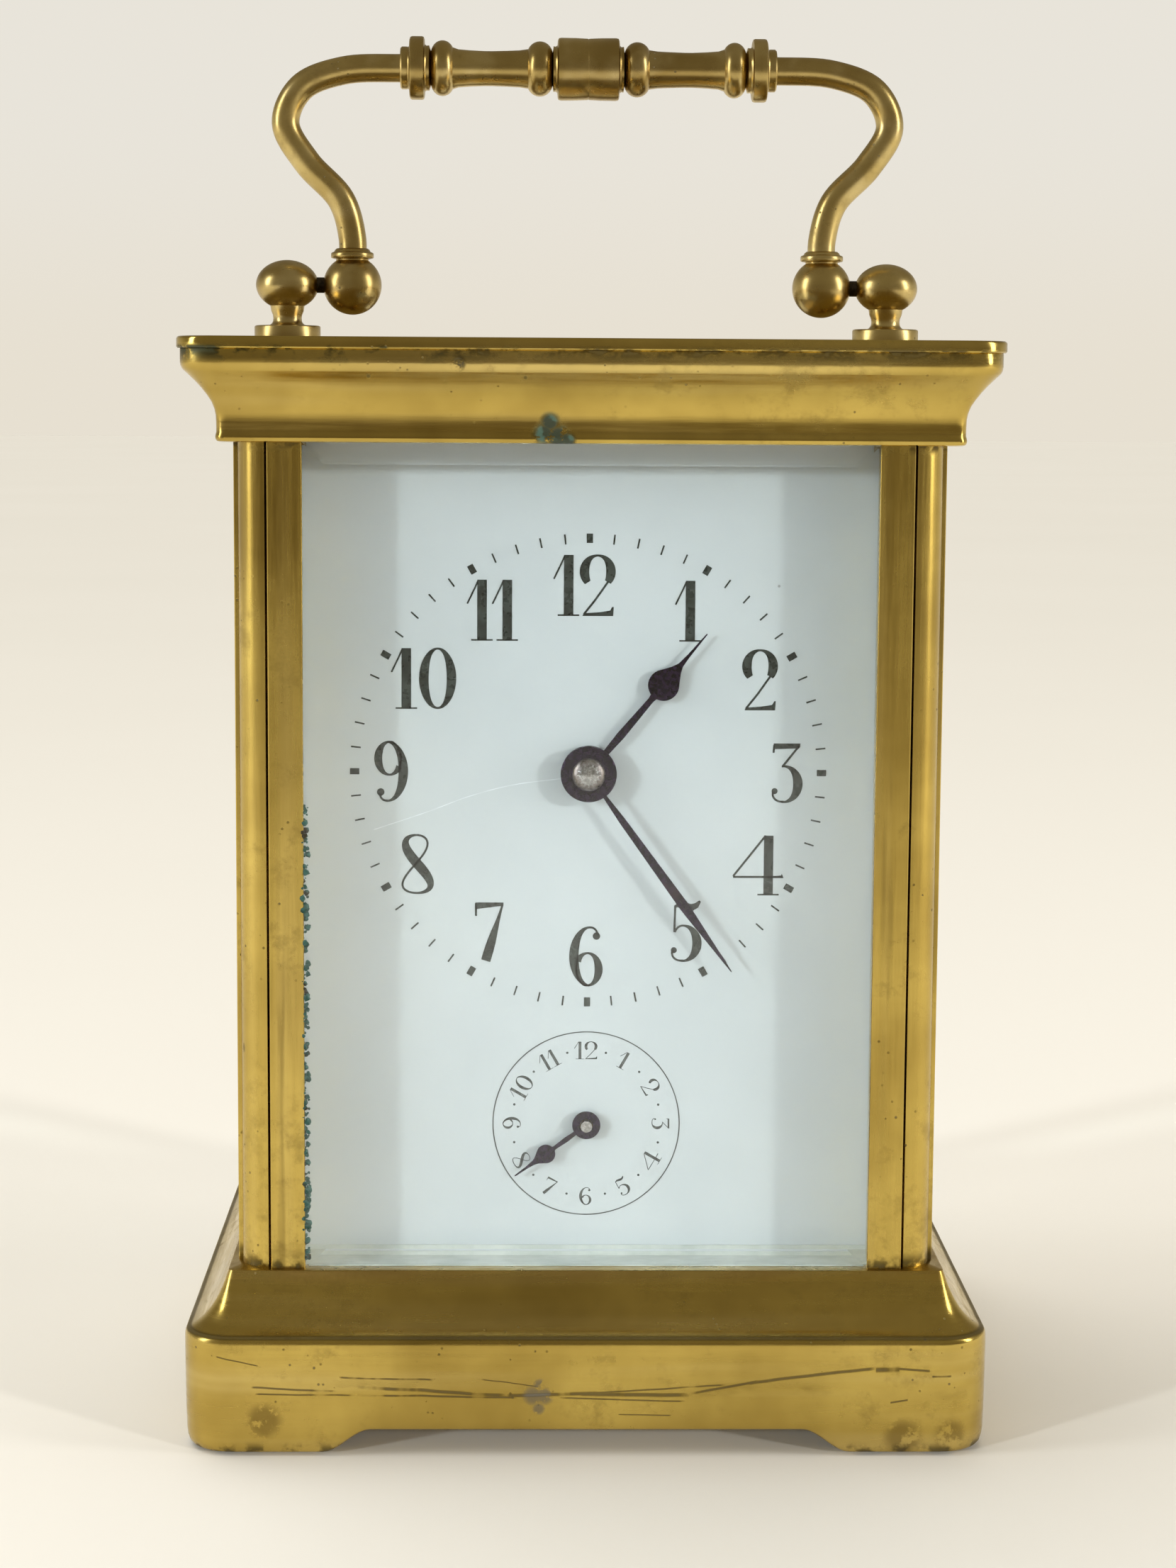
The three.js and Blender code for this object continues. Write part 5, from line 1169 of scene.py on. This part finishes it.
def make_lining():
    """The pale lining of the deck between the front glass and the foot of the dial."""
    half = box_mm("dial")[1][0] - 0.6
    front, deck = box_mm("front_glass")[1][1] + 0.05, BASE_TOP + 0.02
    foot_z = box_mm("dial")[0][2] + 0.12
    profile = [(front, deck), (DIAL_FACE - 0.04, deck), (DIAL_FACE - 0.04, foot_z)]
    profile += [(DIAL_FACE - 0.16, foot_z), (DIAL_FACE - 0.5, deck + 0.22), (front, deck + 0.12)]
    points, faces = skin([[(x, y, z) for y, z in profile] for x in (-half, half)])
    faces += end_faces(points, len(profile))
    piece("deck_lining", points, faces, LINING, "case", "enamel", smooth_below=20)


def make_screws():
    """Blued screws that hold the back plate on its pillars."""
    back = box_mm("movement_back_plate")[1][1]
    heads = []
    for k, name in enumerate(("lower_left", "lower_right", "upper_left", "upper_right")):
        x, _, z = middle_mm(f"movement_pillar_{name}")
        heads.append(screw_parts(x, z, SCREW_RADIUS, back - 0.02, back + SCREW_RISE, 0.5 + 1.1 * k))
    points, faces = join_parts(heads)
    screws = piece("back_plate_screws", points, faces, BLUED_STEEL, "case", "blued_steel", smooth_below=30)
    soften(screws, 0.06, 40)


for pane in ("front_glass", "left_glass", "right_glass", "top_glass"):
    make_pane(pane, "case")
make_pane("rear_door_glass", "rear_door")
make_knob()
make_crust()
make_lining()
make_screws()

# ---------------------------------------------------------------- CAD nodes that stay
SLOT_MATERIAL = {
    "case_brass": PLAIN_BRASS,
    "handle_brass": HANDLE_BRASS,
    "glass": GLASS,
    "gilt_brass": GILT,
    "steel": STEEL,
    "blued_steel": BLUED_STEEL,
    "enamel": ENAMEL,
    "bell_metal": BELL_METAL,
}
EDGE_MM = {
    "rear_door_frame": 0.25,
    "base_bottom_plate": 0.2,
    "movement_front_plate": 0.12,
    "platform_plate": 0.1,
    "bell": 0.15,
}
SMOOTH_BELOW, WELD_MM = 42, 0.0005


def shading_group(below_deg):
    """A node group that welds a mesh's corners and shades faces smoothly where they meet below that angle.
    The shape stays as it is."""
    group = bpy.data.node_groups.new("smooth shading", "GeometryNodeTree")
    group.interface.new_socket("Mesh", in_out="INPUT", socket_type="NodeSocketGeometry")
    group.interface.new_socket("Mesh", in_out="OUTPUT", socket_type="NodeSocketGeometry")
    nodes, links = group.nodes, group.links
    first, last = nodes.new("NodeGroupInput"), nodes.new("NodeGroupOutput")
    faces, edges = nodes.new("GeometryNodeSetShadeSmooth"), nodes.new("GeometryNodeSetShadeSmooth")
    faces.domain, edges.domain = "FACE", "EDGE"
    welded, plain = nodes.new("GeometryNodeMergeByDistance"), nodes.new("GeometryNodeRemoveAttribute")
    welded.inputs["Distance"].default_value = WELD_MM * MM
    plain.inputs["Name"].default_value = "custom_normal"
    angle = nodes.new("GeometryNodeInputMeshEdgeAngle").outputs["Unsigned Angle"]
    gentle = nodes.new("FunctionNodeCompare")
    gentle.operation = "LESS_THAN"
    links.new(angle, gentle.inputs[0])
    gentle.inputs[1].default_value = math.radians(below_deg)
    links.new(first.outputs[0], welded.inputs["Geometry"])
    links.new(welded.outputs[0], plain.inputs["Geometry"])
    links.new(plain.outputs[0], faces.inputs["Geometry"])
    links.new(faces.outputs[0], edges.inputs["Geometry"])
    links.new(gentle.outputs[0], edges.inputs["Shade Smooth"])
    links.new(edges.outputs[0], last.inputs[0])
    return group


SMOOTH_SHADING = shading_group(SMOOTH_BELOW)
for part in frame["record"]["subparts"]:
    node = frame["nodes"][part["node"]]
    if node.hide_render:
        continue
    paint(node, SLOT_MATERIAL[part["material_slot"]])
    if part["material_slot"] == "glass":
        continue
    node.modifiers.new("smooth shading", "NODES").node_group = SMOOTH_SHADING
    if part["node"] in EDGE_MM:
        soften(node, EDGE_MM[part["node"]], SMOOTH_BELOW)
paint(frame["nodes"]["rear_door_frame"], PILLAR_BRASS)


# ---------------------------------------------------------------- camera
CAMERA_PLACE = (-6.61, -353.15, 109.35)  # millimetres
CAMERA_YAW, CAMERA_PITCH, CAMERA_ROLL = 1.144, 7.011, 0.367  # degrees to the right, down and clockwise
CAMERA_LENS = 72.26


def make_camera():
    yaw, pitch, roll = (math.radians(a) for a in (CAMERA_YAW, CAMERA_PITCH, CAMERA_ROLL))
    forward = Vector((math.sin(yaw) * math.cos(pitch), math.cos(yaw) * math.cos(pitch), -math.sin(pitch)))
    level_right = Vector((math.cos(yaw), -math.sin(yaw), 0))
    level_up = level_right.cross(forward)
    right = math.cos(roll) * level_right + math.sin(roll) * level_up
    up = math.cos(roll) * level_up - math.sin(roll) * level_right
    camera = bpy.data.objects.new("camera", bpy.data.cameras.new("camera"))
    camera.data.lens = CAMERA_LENS
    camera.data.sensor_width = 36
    camera.data.clip_start, camera.data.clip_end = 0.01, 50
    camera.matrix_world = Matrix((right, up, -forward)).transposed().to_4x4()
    camera.location = Vector(CAMERA_PLACE) * MM
    SCENE.collection.objects.link(camera)
    SCENE.camera = camera


# ---------------------------------------------------------------- floor, world and lights
BACKDROP, HORIZON = (0.81, 0.775, 0.70), (0.80, 0.745, 0.64)
FRONT_WALL, BACK_WALL, CEILING = (0.21, 0.180, 0.130), (0.62, 0.59, 0.52), (0.25, 0.220, 0.16)
FLOOR_HALF, FLOOR_DROP = 8.0, 0.0003
FLOOR_TONES = (0.835, 0.81, 0.75), (0.865, 0.84, 0.785)
FLOOR_FADE = (-0.35, -1.0)  # reflections lose the floor between these places, as at a table's edge
COOL_WHITE, WARM_WHITE, SKY_WHITE = (0.93, 0.98, 1.0), (1.0, 0.985, 0.955), (1.0, 0.985, 0.96)
SOFTBOX_X, SOFTBOX_Y, SOFTBOX_Z, SOFTBOX_WATTS = 0.9, -0.25, 0.38, 2.8


def make_floor():
    half = FLOOR_HALF
    points = [(-half, -half, 0), (half, -half, 0), (half, half, 0), (-half, half, 0)]
    mesh = bpy.data.meshes.new("floor")
    mesh.from_pydata(points, [], [(0, 1, 2, 3)])
    floor = bpy.data.objects.new("floor", mesh)
    floor.location = (0, 0, -FLOOR_DROP)
    SCENE.collection.objects.link(floor)
    m = Material("pale floor")
    pale = m.mix(m.noise(3, 3), *FLOOR_TONES)
    mirrored_ray = m.tree.nodes.new("ShaderNodeLightPath").outputs["Is Glossy Ray"]
    far_ahead = m.ramp(m.axes()[1], *FLOOR_FADE)
    colour = m.mix(m.times(far_ahead, mirrored_ray), pale, FRONT_WALL)
    m.surface(Base_Color=colour, Roughness=0.85, Specular_IOR_Level=0.2)
    mesh.materials.append(m.data)


def make_world():
    """Pale to the camera. Reflections see a dim room: paler behind the clock, dark above it."""
    world = bpy.data.worlds.new("studio")
    SCENE.world = world
    world.use_nodes = True
    nodes, links = world.node_tree.nodes, world.node_tree.links
    split = nodes.new("ShaderNodeSeparateXYZ")
    links.new(nodes.new("ShaderNodeTexCoord").outputs["Generated"], split.inputs[0])

    def share(socket, low, high):
        ramp = nodes.new("ShaderNodeMapRange")
        ramp.interpolation_type = "SMOOTHSTEP"
        links.new(socket, ramp.inputs["Value"])
        ramp.inputs["From Min"].default_value, ramp.inputs["From Max"].default_value = low, high
        return ramp.outputs["Result"]

    def blended(factor, a, b):
        mix = nodes.new("ShaderNodeMix")
        mix.data_type = "RGBA"
        links.new(factor, mix.inputs["Factor"])
        for value, socket in zip((a, b), [s for s in mix.inputs if s.type == "RGBA"]):
            if isinstance(value, bpy.types.NodeSocket):
                links.new(value, socket)
            else:
                socket.default_value = (*value, 1)
        return next(s for s in mix.outputs if s.type == "RGBA")

    walls = blended(share(split.outputs[1], -0.3, 0.5), FRONT_WALL, BACK_WALL)
    room = blended(share(split.outputs[2], 0.05, 0.45), walls, CEILING)
    backdrop = blended(share(split.outputs[2], 0.0, 0.09), HORIZON, BACKDROP)
    seen = blended(nodes.new("ShaderNodeLightPath").outputs["Is Camera Ray"], room, backdrop)
    links.new(seen, nodes["Background"].inputs["Color"])


def softbox(name, x, colour):
    """A tall soft light beside the clock, turned towards it."""
    light = bpy.data.lights.new(name, "AREA")
    light.shape, light.size, light.size_y = "RECTANGLE", 0.22, 0.6
    light.energy, light.color = SOFTBOX_WATTS, colour
    lamp = bpy.data.objects.new(name, light)
    lamp.location = (x, SOFTBOX_Y, SOFTBOX_Z)
    towards = Vector((0, 0, 0.08)) - Vector((x, SOFTBOX_Y, SOFTBOX_Z))
    lamp.rotation_euler = towards.to_track_quat("-Z", "Y").to_euler()
    SCENE.collection.objects.link(lamp)


def sun(name, azimuth, elevation, width_deg, strength, colour):
    """A distant light that isn't mirrored. Azimuth 0 is in front of the dial and 90 on its right."""
    light = bpy.data.lights.new(name, "SUN")
    light.angle, light.energy, light.color = math.radians(width_deg), strength, colour
    lamp = bpy.data.objects.new(name, light)
    a, e = math.radians(azimuth), math.radians(elevation)
    towards = Vector((math.sin(a) * math.cos(e), -math.cos(a) * math.cos(e), math.sin(e)))
    lamp.rotation_euler = towards.to_track_quat("Z", "Y").to_euler()
    lamp.visible_glossy = False
    SCENE.collection.objects.link(lamp)


make_camera()
make_floor()
make_world()
sun("left_window", -50, 12, 4, 1.55, COOL_WHITE)
sun("right_window", 50, 12, 4, 1.5, WARM_WHITE)
sun("overhead", -140, 62, 70, 1.85, SKY_WHITE)
softbox("left_softbox", -SOFTBOX_X, (0.97, 0.99, 1.0))
softbox("right_softbox", SOFTBOX_X, (1.0, 0.98, 0.95))
SCENE.view_settings.view_transform = "Standard"
